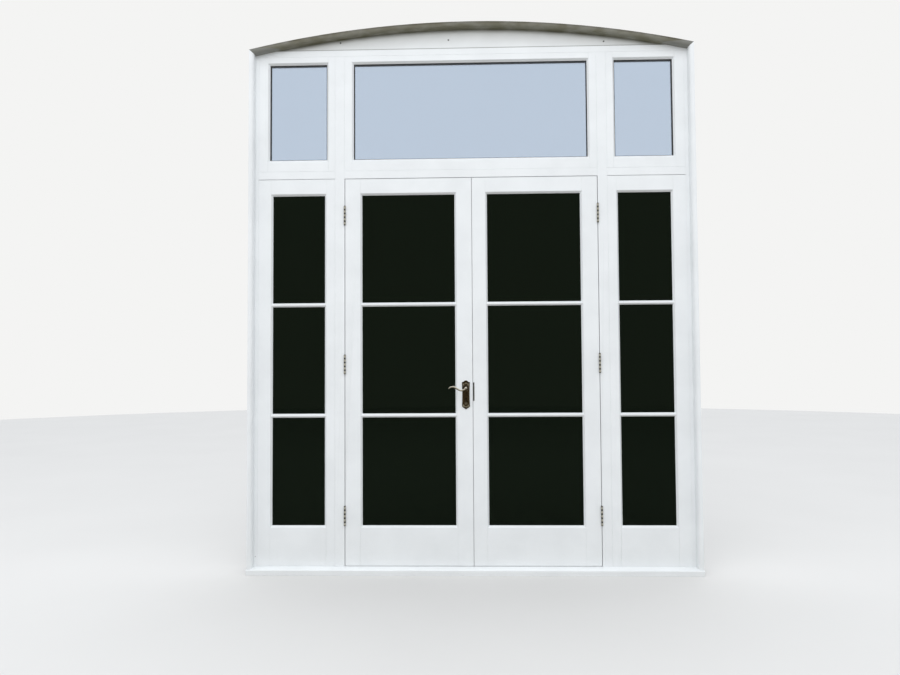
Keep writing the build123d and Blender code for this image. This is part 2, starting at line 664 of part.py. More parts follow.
def make_hinges():
    """Three five-knuckle butt hinges on each side, on flush pins."""
    pitch = HINGE_H / KNUCKLE_COUNT
    half_gap = KNUCKLE_AXIAL_GAP / 2
    frame_plates, leaf_plates, pins = [], [], []
    for z in HINGE_Z:
        z0, z1 = z - HINGE_H / 2, z + HINGE_H / 2
        fixed = block(*frame_plate_x(), HINGE_Y, PLATE_BACK_Y, z0, z1)
        moving = block(*leaf_plate_x(), HINGE_Y, PLATE_BACK_Y, z0, z1)
        for i in range(KNUCKLE_COUNT):
            k0 = z0 + i * pitch + half_gap * (i > 0)
            k1 = z0 + (i + 1) * pitch - half_gap * (i < KNUCKLE_COUNT - 1)
            knuckle = barrel(KNUCKLE_R, k0, k1)
            room = barrel(KNUCKLE_R + KNUCKLE_STANDOFF, z0 + i * pitch - half_gap,
                          z0 + (i + 1) * pitch + half_gap, is_hole=True)
            if i % 2 == 0:
                fixed, moving = fixed + knuckle, moving - room
            else:
                fixed, moving = fixed - room, moving + knuckle
        bore = barrel(PIN_R + PIN_CLEARANCE, z0 - 1, z1 + 1, is_hole=True)
        frame_plates.append(fixed - bore)
        leaf_plates.append(moving - bore)
        pins.append(barrel(PIN_R, z0, z1))
    keep("right_hinge_frame_plates", *frame_plates)
    keep("left_hinge_frame_plates", *[mirrored(p) for p in frame_plates])
    keep("right_hinge_leaf_plates", *leaf_plates)
    keep("left_hinge_leaf_plates", *[mirrored(p) for p in leaf_plates])
    keep("hinge_pins", *pins, *[mirrored(p) for p in pins])


def case_block(grow=0.0):
    """The lock case behind its forend, or its mortise when grown."""
    return block(CASE_BACK_X - grow, LEFT_EDGE_X - FOREND_T, LOCK_Y - CASE_T / 2 - grow,
                 LOCK_Y + CASE_T / 2 + grow, SPINDLE_Z - CASE_BOTTOM - grow,
                 SPINDLE_Z + CASE_TOP + grow)


def forend_block():
    """The strip let in flush over the case."""
    return block(LEFT_EDGE_X - FOREND_T, LEFT_EDGE_X, LOCK_Y - FOREND_W / 2, LOCK_Y + FOREND_W / 2,
                 SPINDLE_Z - FOREND_BOTTOM, SPINDLE_Z + FOREND_TOP)


def lock_cuts():
    """Mortise, forend sinking, spindle hole and key slot in the meeting stile."""
    spindle_hole = rod_y(SPINDLE_X, SPINDLE_Z, NECK_R + CASE_FIT, -1, LEAF_T + 1)
    half = KEYHOLE_R + CASE_FIT
    key_slot = block(SPINDLE_X - half, SPINDLE_X + half, -1, LEAF_T + 1,
                     KEY_Z - KEYHOLE_DROP - CASE_FIT, KEY_Z + half)
    return case_block(CASE_FIT), forend_block(), spindle_hole, key_slot


def keyhole(y0, y1):
    """The outline a key passes through."""
    half = KEYHOLE_SLOT_W / 2
    slot = block(SPINDLE_X - half, SPINDLE_X + half, y0, y1, KEY_Z - KEYHOLE_DROP, KEY_Z)
    return rod_y(SPINDLE_X, KEY_Z, KEYHOLE_R, y0, y1) + slot


def deadbolt_z():
    """Z span of the deadbolt."""
    middle = KEY_Z + DEADBOLT_RISE
    return middle - DEADBOLT_H / 2, middle + DEADBOLT_H / 2


def make_lock():
    """Case with forend, follower and spindle, latch bolt and deadbolt."""
    nose_x = LEFT_EDGE_X + LATCH_OUT
    tail_x = LEFT_EDGE_X - LATCH_TAIL
    y0, y1 = LOCK_Y - LATCH_T / 2, LOCK_Y + LATCH_T / 2
    latch_z = (SPINDLE_Z - LATCH_H / 2, SPINDLE_Z + LATCH_H / 2)
    dead_z = deadbolt_z()

    case = case_block() + forend_block()
    case -= rod_y(SPINDLE_X, SPINDLE_Z, FOLLOWER_R + FOLLOWER_FIT, 0, LEAF_T)
    case -= keyhole(0, LEAF_T)
    case -= block(tail_x - LATCH_OUT - 1, nose_x, y0 - BOLT_FIT, y1 + BOLT_FIT,
                  latch_z[0] - BOLT_FIT, latch_z[1] + BOLT_FIT)
    case -= block(LEFT_EDGE_X - DEADBOLT_L - 1, nose_x, y0 - BOLT_FIT, y1 + BOLT_FIT,
                  dead_z[0] - BOLT_FIT, dead_z[1] + BOLT_FIT)
    keep("lock_case", case)

    latch = prism_z([(tail_x, y0), (nose_x, y0), (nose_x, y0 + LATCH_NOSE_T),
                     (LEFT_EDGE_X + LATCH_BEVEL_FROM, y1), (tail_x, y1)], *latch_z)
    keep("latch_bolt", latch)
    deadbolt = block(LEFT_EDGE_X - DEADBOLT_L, LEFT_EDGE_X - DEADBOLT_SETBACK, y0, y1, *dead_z)
    keep("deadbolt", deadbolt)

    side = SPINDLE_SIDE / 2
    reach = LEVER_PROUD - NECK_R
    spindle = block(SPINDLE_X - side, SPINDLE_X + side, -reach, LEAF_T + reach,
                    SPINDLE_Z - side, SPINDLE_Z + side)
    case_y = (LOCK_Y - CASE_T / 2 + BOLT_FIT, LOCK_Y + CASE_T / 2 - BOLT_FIT)
    spindle += rod_y(SPINDLE_X, SPINDLE_Z, FOLLOWER_R, *case_y)
    keep("spindle", spindle)


def bowed(start, end, bow):
    """An outline's stretch between two points: an arc bowed to its left, or a line at 0."""
    if bow == 0:
        return Line(start, end)
    (x0, y0), (x1, y1) = start, end
    share = bow / math.hypot(x1 - x0, y1 - y0)
    middle = ((x0 + x1) / 2 - share * (y1 - y0), (y0 + y1) / 2 + share * (x1 - x0))
    return ThreePointArc(start, middle, end)


def plate_face(inset=0.0):
    """The lever plate's outline, or a level of its face set in from it by inset."""
    half = PLATE_W / 2 - inset
    top, bottom = PLATE_TOP - inset, inset - PLATE_BOTTOM
    crown_y = top - CROWN_H
    foot_y = FOOT_H - PLATE_BOTTOM + inset
    corners = [(0, top), (CROWN_HALF_W - inset, crown_y), (half - EAR_W, crown_y),
               (half, crown_y - EAR_H), (half, foot_y + EAR_H),
               (FOOT_HALF_W - inset, foot_y - FOOT_EASE), (0, bottom)]
    bows = (CROWN_BOW, -EAR_DIP, 0, -WAIST, FOOT_BOW, -FOOT_BOW)
    right = [bowed(*stretch) for stretch in zip(corners, corners[1:], bows)]
    left = [mirror(edge, about=Plane.YZ) for edge in right]
    return make_face(Curve() + right + left)


def lever_plate():
    """One lever plate, its back at local z 0 and its face towards +z, spindle at the origin."""
    plate = extrude(plate_face(), amount=PLATE_BASE_T)
    plate += extrude(plate_face(PLATE_BORDER_W), amount=PLATE_FIELD_T)
    for x in REED_X:
        reed = Pos(x, REED_Y) * Rectangle(REED_W, REED_L)
        plate += Pos(0, 0, PLATE_FIELD_T - RELIEF_SINK) * extrude(reed, amount=RELIEF_T)
    base = (Align.CENTER, Align.CENTER, Align.MIN)
    plate += Pos(0, 0, PLATE_BASE_T) * Cone(COLLAR_R, COLLAR_R - COLLAR_TAPER, COLLAR_T, align=base)
    plate -= Cylinder(NECK_R + NECK_FIT, 4 * PLATE_FIELD_T)
    key = Pos(0, -KEY_DROP) * Circle(KEYHOLE_R)
    key += Pos(0, -KEY_DROP - KEYHOLE_DROP / 2) * Rectangle(KEYHOLE_SLOT_W, KEYHOLE_DROP)
    plate -= extrude(key, amount=2 * PLATE_FIELD_T, both=True)
    return largest(plate)


def between(rows, share):
    """The values of a table's rows at one share, along straight lines between its rows."""
    for (s0, *low), (s1, *high) in zip(rows, rows[1:]):
        if share <= s1:
            part = (share - s0) / (s1 - s0)
            return [a + part * (b - a) for a, b in zip(low, high)]


def turned_points(count):
    """Points evenly round a circle of radius 1."""
    turns = [math.tau * i / count for i in range(count)]
    return [(math.cos(turn), math.sin(turn)) for turn in turns]


def skinned(rings):
    """A solid of flat triangles over rings of as many points each, closed by its end rings."""
    count = len(rings[0])
    outlines = [rings[0], rings[-1]]
    for near, far in zip(rings, rings[1:]):
        for i in range(count):
            j = (i + 1) % count
            outlines.append((near[i], near[j], far[i]))
            outlines.append((near[j], far[j], far[i]))
    return Solid(Shell([make_face(Polyline(*points, close=True)) for points in outlines]))


def lever_arm():
    """One scrolled lever: a turned neck and a swelling arm, spindle along local +z."""
    reach = LEVER_PROUD
    step_z = PLATE_BASE_T + COLLAR_T + NECK_STEP
    profile = [(NECK_R, 0), (NECK_R, step_z), (NECK_WAIST_R, reach / 2), (NECK_R, reach),
               (LEVER_CAP_R, reach + LEVER_CAP_H)]
    neck = skinned([[Vector(radius * x, radius * y, z) for x, y in turned_points(NECK_SIDES)]
                    for radius, z in profile])
    path = Spline(*[(x, y, reach) for x, y in ARM_PATH])
    rings = []
    for step in range(ARM_RINGS + 1):
        share = step / ARM_RINGS
        half_h, half_d = between(ARM_SECTIONS, share)
        frame = Plane(origin=path @ share, x_dir=(0, 0, 1), z_dir=path % share)
        rings.append([frame.from_local_coords(Vector(half_d * x, half_h * y))
                      for x, y in turned_points(ARM_SIDES)])
    return neck + skinned(rings)


def make_furniture():
    """Lever plates and levers on both faces of the active leaf."""
    outside = Plane(origin=(SPINDLE_X, 0, SPINDLE_Z), x_dir=(1, 0, 0), z_dir=(0, -1, 0))
    plate, lever = lever_plate(), lever_arm()
    side = SPINDLE_SIDE / 2
    reach = LEVER_PROUD - NECK_R
    lever -= Box(2 * side, 2 * side, 2 * reach)
    outside_plate, outside_lever = outside.location * plate, outside.location * lever
    middle = Plane(origin=(0, LEAF_T / 2, 0), x_dir=(1, 0, 0), z_dir=(0, 1, 0))
    keep("outside_plate", outside_plate)
    keep("outside_lever", outside_lever)
    keep("inside_plate", mirror(outside_plate, about=middle))
    keep("inside_lever", mirror(outside_lever, about=middle))


def strike_body():
    """The keep's blank: a plate let into the slave leaf's edge with a lip on its face."""
    z0, z1 = SPINDLE_Z - STRIKE_BOTTOM, SPINDLE_Z + STRIKE_TOP
    flat = block(RIGHT_EDGE_X, RIGHT_EDGE_X + STRIKE_T, -STRIKE_LIP_T, STRIKE_FACE_T, z0, z1)
    lip = block(RIGHT_EDGE_X, RIGHT_EDGE_X + STRIKE_LIP_W, -STRIKE_LIP_T, 0, z0, z1)
    return flat + lip


def pockets(depth):
    """The latch's and deadbolt's pockets in the slave leaf's edge."""
    latch_z = (SPINDLE_Z - LATCH_H / 2, SPINDLE_Z + LATCH_H / 2)
    fit = STRIKE_POCKET_FIT
    return [block(RIGHT_EDGE_X - 1, RIGHT_EDGE_X + depth, *STRIKE_POCKET_Y, z0 - fit, z1 + fit)
            for z0, z1 in (latch_z, deadbolt_z())]


def strike_cuts():
    """Sinking for the keep and the pockets behind it."""
    return [strike_body()] + pockets(DEADBOLT_TRAVEL)


def make_strike():
    """The keep that the latch and deadbolt enter."""
    strike = strike_body()
    for pocket in pockets(STRIKE_T + 1):
        strike -= pocket
    keep("strike_plate", strike)


def slide_bolt(end_z, way):
    """One slide bolt: rod with knob, and its plate with two staples; way is 1 up, -1 down."""
    tip = end_z - way * ROD_TIP_GAP
    tail = tip - way * ROD_L
    knob_z = tail + way * KNOB_FROM_TAIL
    rod = rod_z(ROD_X, ROD_Y, ROD_R, *sorted((tip, tail)))
    knob_y = ROD_Y + KNOB_STEM_L
    rod += rod_y(ROD_X, knob_z, KNOB_STEM_R, ROD_Y, knob_y)
    rod += rod_y(ROD_X, knob_z, KNOB_R, knob_y, knob_y + KNOB_H)
    near = tip - way * BOLT_PLATE_SETBACK
    far = near - way * BOLT_PLATE_H
    z0, z1 = sorted((near, far))
    plate = block(ROD_X - BOLT_PLATE_W / 2, ROD_X + BOLT_PLATE_W / 2, LEAF_T,
                  LEAF_T + BOLT_PLATE_T, z0, z1)
    for centre in (z0 + STAPLE_INSET, z1 - STAPLE_INSET):
        plate += block(ROD_X - STAPLE_W / 2, ROD_X + STAPLE_W / 2, LEAF_T,
                       ROD_Y + ROD_R + STAPLE_WALL, centre - STAPLE_H / 2, centre + STAPLE_H / 2)
    plate -= rod_z(ROD_X, ROD_Y, ROD_R + ROD_FIT, z0 - 1, z1 + 1)
    return rod, plate


def make_slide_bolts():
    """A slide bolt at the head and one at the foot of the slave leaf, inside."""
    top_rod, top_plate = slide_bolt(TRANSOM_Z - STOP_W, 1)
    bottom_rod, bottom_plate = slide_bolt(UPSTAND_Z, -1)
    keep("top_bolt", top_rod)
    keep("bottom_bolt", bottom_rod)
    keep("bolt_plates", top_plate, bottom_plate)


def make_seals():
    """Strips on the frame's stops round the doors, and one up the meeting rebate."""
    y0, y1 = LEAF_T + SEAL_GAP, STOP_Y
    x_in = MULLION_IN - STOP_W + SEAL_INSET
    sill_z = UPSTAND_Z - SEAL_INSET
    top_z = TRANSOM_Z - STOP_W + SEAL_INSET
    upright = block(x_in, x_in + SEAL_W, y0, y1, sill_z - SEAL_STRIP_W, top_z + SEAL_W)
    across = [block(-x_in, x_in, y0, y1, sill_z - SEAL_STRIP_W, sill_z),
              block(-x_in, x_in, y0, y1, top_z, top_z + SEAL_W)]
    keep("door_seals", upright, mirrored(upright), *across)
    keep("meeting_seal", block(TONGUE_X + SEAL_INSET, TONGUE_X + SEAL_INSET + SEAL_STRIP_W,
                               TONGUE_Y - MEET_SEAL_T, TONGUE_Y, LEAF_BOTTOM_Z, LEAF_TOP_Z))


make_frame()
make_arch()
make_beads()
make_fixed_lights()
make_leaf("left")
make_leaf("right")
make_hinges()
make_lock()
make_furniture()
make_strike()
make_slide_bolts()
make_seals()

os.makedirs("parts", exist_ok=True)
for node, shape in PARTS.items():
    export_step(shape, "parts/" + node + ".step")
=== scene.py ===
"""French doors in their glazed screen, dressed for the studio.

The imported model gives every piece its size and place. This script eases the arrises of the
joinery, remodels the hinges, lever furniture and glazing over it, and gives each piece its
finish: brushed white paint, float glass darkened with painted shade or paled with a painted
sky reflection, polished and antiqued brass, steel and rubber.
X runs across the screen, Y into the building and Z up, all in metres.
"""
from __future__ import annotations

import json
import logging
import math
from dataclasses import dataclass, field
from enum import Enum
from typing import Iterable, Sequence

import bpy
from mathutils import Matrix, Vector

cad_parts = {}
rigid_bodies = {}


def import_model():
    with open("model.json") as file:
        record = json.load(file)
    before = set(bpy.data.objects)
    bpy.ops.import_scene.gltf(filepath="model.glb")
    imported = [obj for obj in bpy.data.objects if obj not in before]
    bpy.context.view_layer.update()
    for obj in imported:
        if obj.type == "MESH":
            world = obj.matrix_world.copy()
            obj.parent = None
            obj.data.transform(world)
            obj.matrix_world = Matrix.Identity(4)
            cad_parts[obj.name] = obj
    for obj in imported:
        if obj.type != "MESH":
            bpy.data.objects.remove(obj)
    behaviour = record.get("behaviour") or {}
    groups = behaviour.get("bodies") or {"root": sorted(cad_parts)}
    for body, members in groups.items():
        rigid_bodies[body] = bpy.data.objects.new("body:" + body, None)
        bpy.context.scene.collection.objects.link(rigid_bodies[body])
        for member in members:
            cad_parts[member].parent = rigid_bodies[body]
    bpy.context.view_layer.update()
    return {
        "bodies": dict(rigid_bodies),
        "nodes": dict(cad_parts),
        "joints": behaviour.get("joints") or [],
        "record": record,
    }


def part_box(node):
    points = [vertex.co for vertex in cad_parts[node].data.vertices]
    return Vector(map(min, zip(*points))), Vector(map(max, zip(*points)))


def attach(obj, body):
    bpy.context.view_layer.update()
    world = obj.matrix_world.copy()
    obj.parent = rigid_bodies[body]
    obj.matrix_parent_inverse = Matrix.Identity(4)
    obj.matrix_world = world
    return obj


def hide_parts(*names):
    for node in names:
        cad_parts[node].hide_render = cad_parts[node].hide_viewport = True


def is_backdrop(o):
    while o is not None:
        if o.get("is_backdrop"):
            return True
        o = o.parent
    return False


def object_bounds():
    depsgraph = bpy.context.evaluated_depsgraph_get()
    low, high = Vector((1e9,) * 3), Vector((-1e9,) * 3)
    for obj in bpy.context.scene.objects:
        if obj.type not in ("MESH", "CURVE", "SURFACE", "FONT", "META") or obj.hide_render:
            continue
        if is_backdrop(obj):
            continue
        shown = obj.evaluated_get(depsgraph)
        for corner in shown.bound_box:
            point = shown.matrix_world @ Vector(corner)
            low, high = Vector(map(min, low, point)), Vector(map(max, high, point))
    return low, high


LOG = logging.getLogger("french_doors")
MM = 0.001
SIDES = (("left", -1), ("right", 1))
ARRIS_ANGLE = math.radians(40.0)
SMOOTH_ANGLE = math.radians(30.0)
LATHE_ANGLE = math.radians(35.0)
FLAT_ANGLE = math.radians(0.5)
ScrewPlace = tuple[Sequence[float], Sequence[float]]


class Slot(str, Enum):
    """The record's material slots."""

    PAINT = "white_paint"
    SOFTWOOD = "bare_softwood"
    GLASS = "glass"
    POLISHED_BRASS = "polished_brass"
    ANTIQUE_BRASS = "antique_brass"
    HINGE_BRASS = "hinge_brass"
    STEEL = "lock_steel"
    RUBBER = "seal_rubber"


class Grain(Enum):
    """The way a timber's grain and the painter's brush run."""

    UPRIGHT = (1.0, 1.0, 0.04)
    LEVEL = (0.04, 1.0, 1.0)


def linear(code: str) -> tuple[float, float, float, float]:
    """Turns an sRGB hex colour to linear RGBA.

    Args:
        code: six hex digits, such as "F0EFEC".

    Returns:
        The linear colour with an alpha of 1.
    """
    values = [int(code[i:i + 2], 16) / 255 for i in (0, 2, 4)]
    low_end, scale, offset, power = 0.04045, 12.92, 0.055, 2.4
    parts = [v / scale if v <= low_end else ((v + offset) / (1 + offset)) ** power for v in values]
    return (*parts, 1.0)


def add_node(tree: bpy.types.NodeTree, kind: str, inputs: dict | None = None,
             **settings: object) -> bpy.types.Node:
    """Adds one shader node with its settings, values and links.

    Args:
        tree: the node tree it goes into.
        kind: the node's type, without its "ShaderNode" prefix.
        inputs: for each input, by name or number, a value or the output that feeds it.
        settings: the node's own properties.

    Returns:
        The new node.
    """
    node = tree.nodes.new("ShaderNode" + kind)
    for name, value in settings.items():
        setattr(node, name, value)
    for socket, source in (inputs or {}).items():
        if isinstance(source, bpy.types.NodeSocket):
            tree.links.new(source, node.inputs[socket])
        else:
            node.inputs[socket].default_value = source
    return node


def per_metre(millimetres: float) -> float:
    """The texture scale at which one pattern cell is that many millimetres wide."""
    return 1.0 / (millimetres * MM)


@dataclass(frozen=True)
class Finish:
    """What every finish starts from."""

    name: str

    def new_tree(self) -> tuple[bpy.types.Material, bpy.types.NodeTree, bpy.types.NodeSocket]:
        """Starts the material.

        Returns:
            The material, its cleared tree and the object coordinates.
        """
        material = bpy.data.materials.new(self.name)
        material.use_nodes = True
        tree = material.node_tree
        tree.nodes.clear()
        place = add_node(tree, "TexCoord").outputs["Object"]
        return material, tree, place

    def close(self, tree: bpy.types.NodeTree, shader: bpy.types.Node) -> None:
        """Joins the shader to the material's surface."""
        add_node(tree, "OutputMaterial", {"Surface": shader.outputs[0]})


@dataclass(frozen=True)
class BrushedPaint(Finish):
    """Eggshell paint brushed on softwood: soft sheen, fine strokes along the piece, dirt and
    painted shade darkening the corners and joints, and a little splash dirt near the sill."""

    grain: Grain = Grain.UPRIGHT
    colour: str = "ECEFF1"
    shade: str = "E7EAEC"
    # Colour of the dirt and painted shade in corners and joints.
    grime_and_shade: str = "C8CAC7"
    splash: str = "DCDDD9"
    stroke_mm: float = 2.2  # bristle marks are finer; drawn this coarse so that they show
    mottle_mm: float = 170.0
    corner_mm: float = 5.0
    splash_top: float = 0.30
    splash_bottom: float = 0.03
    speck_mm: float = 9.0

    def make(self) -> bpy.types.Material:
        """Builds the finish's nodes.

        Returns:
            The material.
        """
        material, tree, place = self.new_tree()
        along = add_node(tree, "Mapping", {"Vector": place, "Scale": self.grain.value})
        strokes = add_node(tree, "TexNoise", {"Vector": along.outputs[0], "Detail": 3.0,
                                              "Scale": per_metre(self.stroke_mm), "Roughness": 0.6})
        mottle = add_node(tree, "TexNoise", {"Vector": place, "Scale": per_metre(self.mottle_mm),
                                             "Detail": 4.0})
        tone = add_node(tree, "ValToRGB", {"Fac": mottle.outputs["Fac"]})
        tone.color_ramp.elements[0].position, tone.color_ramp.elements[1].position = 0.35, 0.62
        tone.color_ramp.elements[0].color = linear(self.shade)
        tone.color_ramp.elements[1].color = linear(self.colour)
        height = add_node(tree, "SeparateXYZ", {"Vector": place}).outputs["Z"]
        low = add_node(tree, "MapRange", {"Value": height, "From Min": self.splash_top,
                                          "From Max": self.splash_bottom, "To Max": 0.35})
        specks = add_node(tree, "TexNoise", {"Vector": place, "Scale": per_metre(self.speck_mm),
                                             "Detail": 5.0})
        splash = add_node(tree, "Math", {0: low.outputs[0], 1: specks.outputs["Fac"]},
                          operation="MULTIPLY")
        dirty = add_node(tree, "Mix", {0: splash.outputs[0], 6: tone.outputs[0],
                                       7: linear(self.splash)}, data_type="RGBA")
        # Painted shade: where corners and joints close in, the paint darkens for the shade that
        # falls there, as well as for dirt.
        corner = add_node(tree, "AmbientOcclusion", {"Distance": self.corner_mm * MM}, samples=6)
        shade_in_corners = add_node(tree, "MapRange", {"Value": corner.outputs["AO"], "From Min": 0.45,
                                           "From Max": 0.0, "To Max": 0.45})
        grimed_and_shaded = add_node(tree, "Mix", {0: shade_in_corners.outputs[0], 6: dirty.outputs[2],
                                        7: linear(self.grime_and_shade)}, data_type="RGBA")
        colour = self.weather_and_shade(tree, place, height, grimed_and_shaded.outputs[2])
        gloss = add_node(tree, "MapRange", {"Value": strokes.outputs["Fac"], "To Min": 0.34,
                                            "To Max": 0.5})
        bump = add_node(tree, "Bump", {"Height": strokes.outputs["Fac"], "Strength": 0.4,
                                       "Distance": 0.22 * MM})
        shader = add_node(tree, "BsdfPrincipled", {"Base Color": colour, "Normal": bump.outputs[0],
                                                   "Roughness": gloss.outputs[0], "IOR": 1.48})
        self.close(tree, shader)
        return material

    def weather_and_shade(self, tree: bpy.types.NodeTree, place: bpy.types.NodeSocket,
                height: bpy.types.NodeSocket, colour: bpy.types.NodeSocket
                ) -> bpy.types.NodeSocket:
        """Adds the dirt and painted shade that only the sheltered head carries; plain joinery has
        none.
        """
        return colour


@dataclass(frozen=True)
class WeatheredAndShadedPaint(BrushedPaint):
    """The same paint under the arch, where soot and algae gather: the bead is olive-grey all
    over, partly dirt and partly painted shade from the brick arch above, and the board below it
    fades from dirt and painted shadow at the bead's foot to clean paint."""

    arch_radius: float = 5.3
    arch_centre_z: float = -2.4
    reach_mm: float = 110.0
    joint_z: float = 2.736
    joint_mm: float = 4.5
    joint_dirt: str = "7E7F7B"
    blotch_mm: float = 45.0
    # Share of dirt and painted shadow, by millimetres below the arch's edge.
    grime_and_shade_cover: tuple[tuple[float, float], ...] = (
        (0.0, 1.0), (25.6, 1.0), (26.5, 0.93), (31.0, 0.8), (37.0, 0.62), (47.0, 0.43),
        (62.0, 0.34), (85.0, 0.25), (109.0, 0.14))
    # Its colour by the same millimetres: dirt darkened with the brick arch's painted shade.
    grime_and_shade_tones: tuple[tuple[float, str], ...] = (
        (0.0, "494636"), (6.0, "524F3F"), (12.0, "6A6757"), (19.0, "6D6B5A"), (25.0, "666451"),
        (27.0, "5A5947"), (50.0, "8D8B80"), (100.0, "A6A59E"))

    def weather_and_shade(self, tree: bpy.types.NodeTree, place: bpy.types.NodeSocket,
                height: bpy.types.NodeSocket, colour: bpy.types.NodeSocket
                ) -> bpy.types.NodeSocket:
        """Mixes dirt and painted shadow in by the distance below the arch's edge.

        Args:
            tree: the material's tree.
            place: object coordinates.
            height: their Z.
            colour: the clean paint's colour.

        Returns:
            The colour with its dirt and painted shade.
        """
        centred = add_node(tree, "Mapping", {"Vector": place, "Scale": (1.0, 0.0, 1.0),
                                             "Location": (0.0, 0.0, -self.arch_centre_z)})
        distance = add_node(tree, "VectorMath", {0: centred.outputs[0]}, operation="LENGTH")
        below = add_node(tree, "MapRange", {
            "Value": distance.outputs["Value"], "From Min": self.arch_radius,
            "From Max": self.arch_radius - self.reach_mm * MM})
        # Dirt and painted shadow below the arch, strongest on the bead.
        grime_and_shade_cover = self.ramp(tree, below, [(at, (value, value, value, 1.0))
                                        for at, value in self.grime_and_shade_cover])
        grime_and_shade_tones = self.ramp(tree, below, [(at, linear(code)) for at, code in self.grime_and_shade_tones])
        streaks = add_node(tree, "Mapping", {"Vector": place, "Scale": (0.5, 1.0, 1.0)})
        blotch = add_node(tree, "TexNoise", {"Vector": streaks.outputs[0], "Detail": 5.0,
                                             "Scale": per_metre(self.blotch_mm)})
        patchy = add_node(tree, "MapRange", {"Value": blotch.outputs["Fac"], "From Min": 0.3,
                                             "From Max": 0.6, "To Min": 0.86, "To Max": 1.0})
        amount = add_node(tree, "Math", {0: grime_and_shade_cover.outputs[0], 1: patchy.outputs[0]},
                          operation="MULTIPLY")
        mixed = add_node(tree, "Mix", {0: amount.outputs[0], 6: colour, 7: grime_and_shade_tones.outputs[0]},
                         data_type="RGBA")
        settled = add_node(tree, "MapRange", {
            "Value": height, "From Min": self.joint_z + self.joint_mm * MM,
            "From Max": self.joint_z + 0.4 * self.joint_mm * MM, "To Max": 0.75})
        lined = add_node(tree, "Mix", {0: settled.outputs[0], 6: mixed.outputs[2],
                                       7: linear(self.joint_dirt)}, data_type="RGBA")
        return lined.outputs[2]

    def ramp(self, tree: bpy.types.NodeTree, below: bpy.types.Node,
             stops: Sequence[tuple[float, tuple[float, ...]]]) -> bpy.types.Node:
        """A colour ramp whose stops are millimetres below the arch's edge.

        Args:
            tree: the material's tree.
            below: the node that gives the share of the reach.
            stops: pairs of millimetres and linear colour.

        Returns:
            The ramp's node.
        """
        node = add_node(tree, "ValToRGB", {"Fac": below.outputs[0]})
        elements = node.color_ramp.elements
        while len(elements) < len(stops):
            elements.new(1.0)
        for element, (at, tone) in zip(elements, stops):
            element.position = at / self.reach_mm
            element.color = tone
        return node


@dataclass(frozen=True)
class Softwood(Finish):
    """Planed redwood left bare where nobody sees it: warm, ringed and quite matt."""

    light: str = "D6BB90"
    dark: str = "A98558"
    ring_mm: float = 5.0
    figure_mm: float = 42.0

    def make(self) -> bpy.types.Material:
        """Builds the finish's nodes.

        Returns:
            The material.
        """
        material, tree, place = self.new_tree()
        along = add_node(tree, "Mapping", {"Vector": place, "Scale": Grain.LEVEL.value})
        rings = add_node(tree, "TexNoise", {"Vector": along.outputs[0], "Detail": 6.0,
                                            "Scale": per_metre(self.ring_mm), "Distortion": 0.6})
        figure = add_node(tree, "TexNoise", {"Vector": along.outputs[0], "Distortion": 1.5,
                                             "Scale": per_metre(self.figure_mm)})
        both = add_node(tree, "Math", {0: rings.outputs["Fac"], 1: figure.outputs["Fac"]},
                        operation="ADD")
        spread = add_node(tree, "MapRange", {"Value": both.outputs[0], "From Min": 0.7,
                                             "From Max": 1.25})
        tone = add_node(tree, "Mix", {0: spread.outputs[0], 6: linear(self.dark),
                                      7: linear(self.light)}, data_type="RGBA")
        bump = add_node(tree, "Bump", {"Height": rings.outputs["Fac"], "Strength": 0.3,
                                       "Distance": 0.2 * MM})
        shader = add_node(tree, "BsdfPrincipled", {"Base Color": tone.outputs[2], "IOR": 1.5,
                                                   "Normal": bump.outputs[0], "Roughness": 0.7})
        self.close(tree, shader)
        return material


@dataclass(frozen=True)
class GlassWithPaintedLight(Finish):
    """Float glass whose colour stands in for light: painted shade of the dark room seen through it,
    or a painted reflection of the sky; mirror-smooth, with a faint film of dust that dulls it.
    """

    # Near black by default: painted shade of the dark room behind the glass.
    painted_light_tone: str = "22271F"
    film_mm: float = 120.0
    roughness: float = 0.015
    ior: float = 1.5
    mirror: str = "FFFFFF"

    def make(self) -> bpy.types.Material:
        """Builds the finish's nodes.

        Returns:
            The material.
        """
        material, tree, place = self.new_tree()
        film = add_node(tree, "TexNoise", {"Vector": place, "Scale": per_metre(self.film_mm),
                                           "Detail": 6.0, "Roughness": 0.7})
        dull = add_node(tree, "MapRange", {"Value": film.outputs["Fac"], "From Min": 0.45,
                                           "From Max": 0.8, "To Min": self.roughness,
                                           "To Max": self.roughness + 0.03})
        shader = add_node(tree, "BsdfPrincipled", {
            "Base Color": linear(self.painted_light_tone), "Roughness": dull.outputs[0], "IOR": self.ior,
            "Transmission Weight": 1.0, "Specular Tint": linear(self.mirror)})
        self.close(tree, shader)
        return material


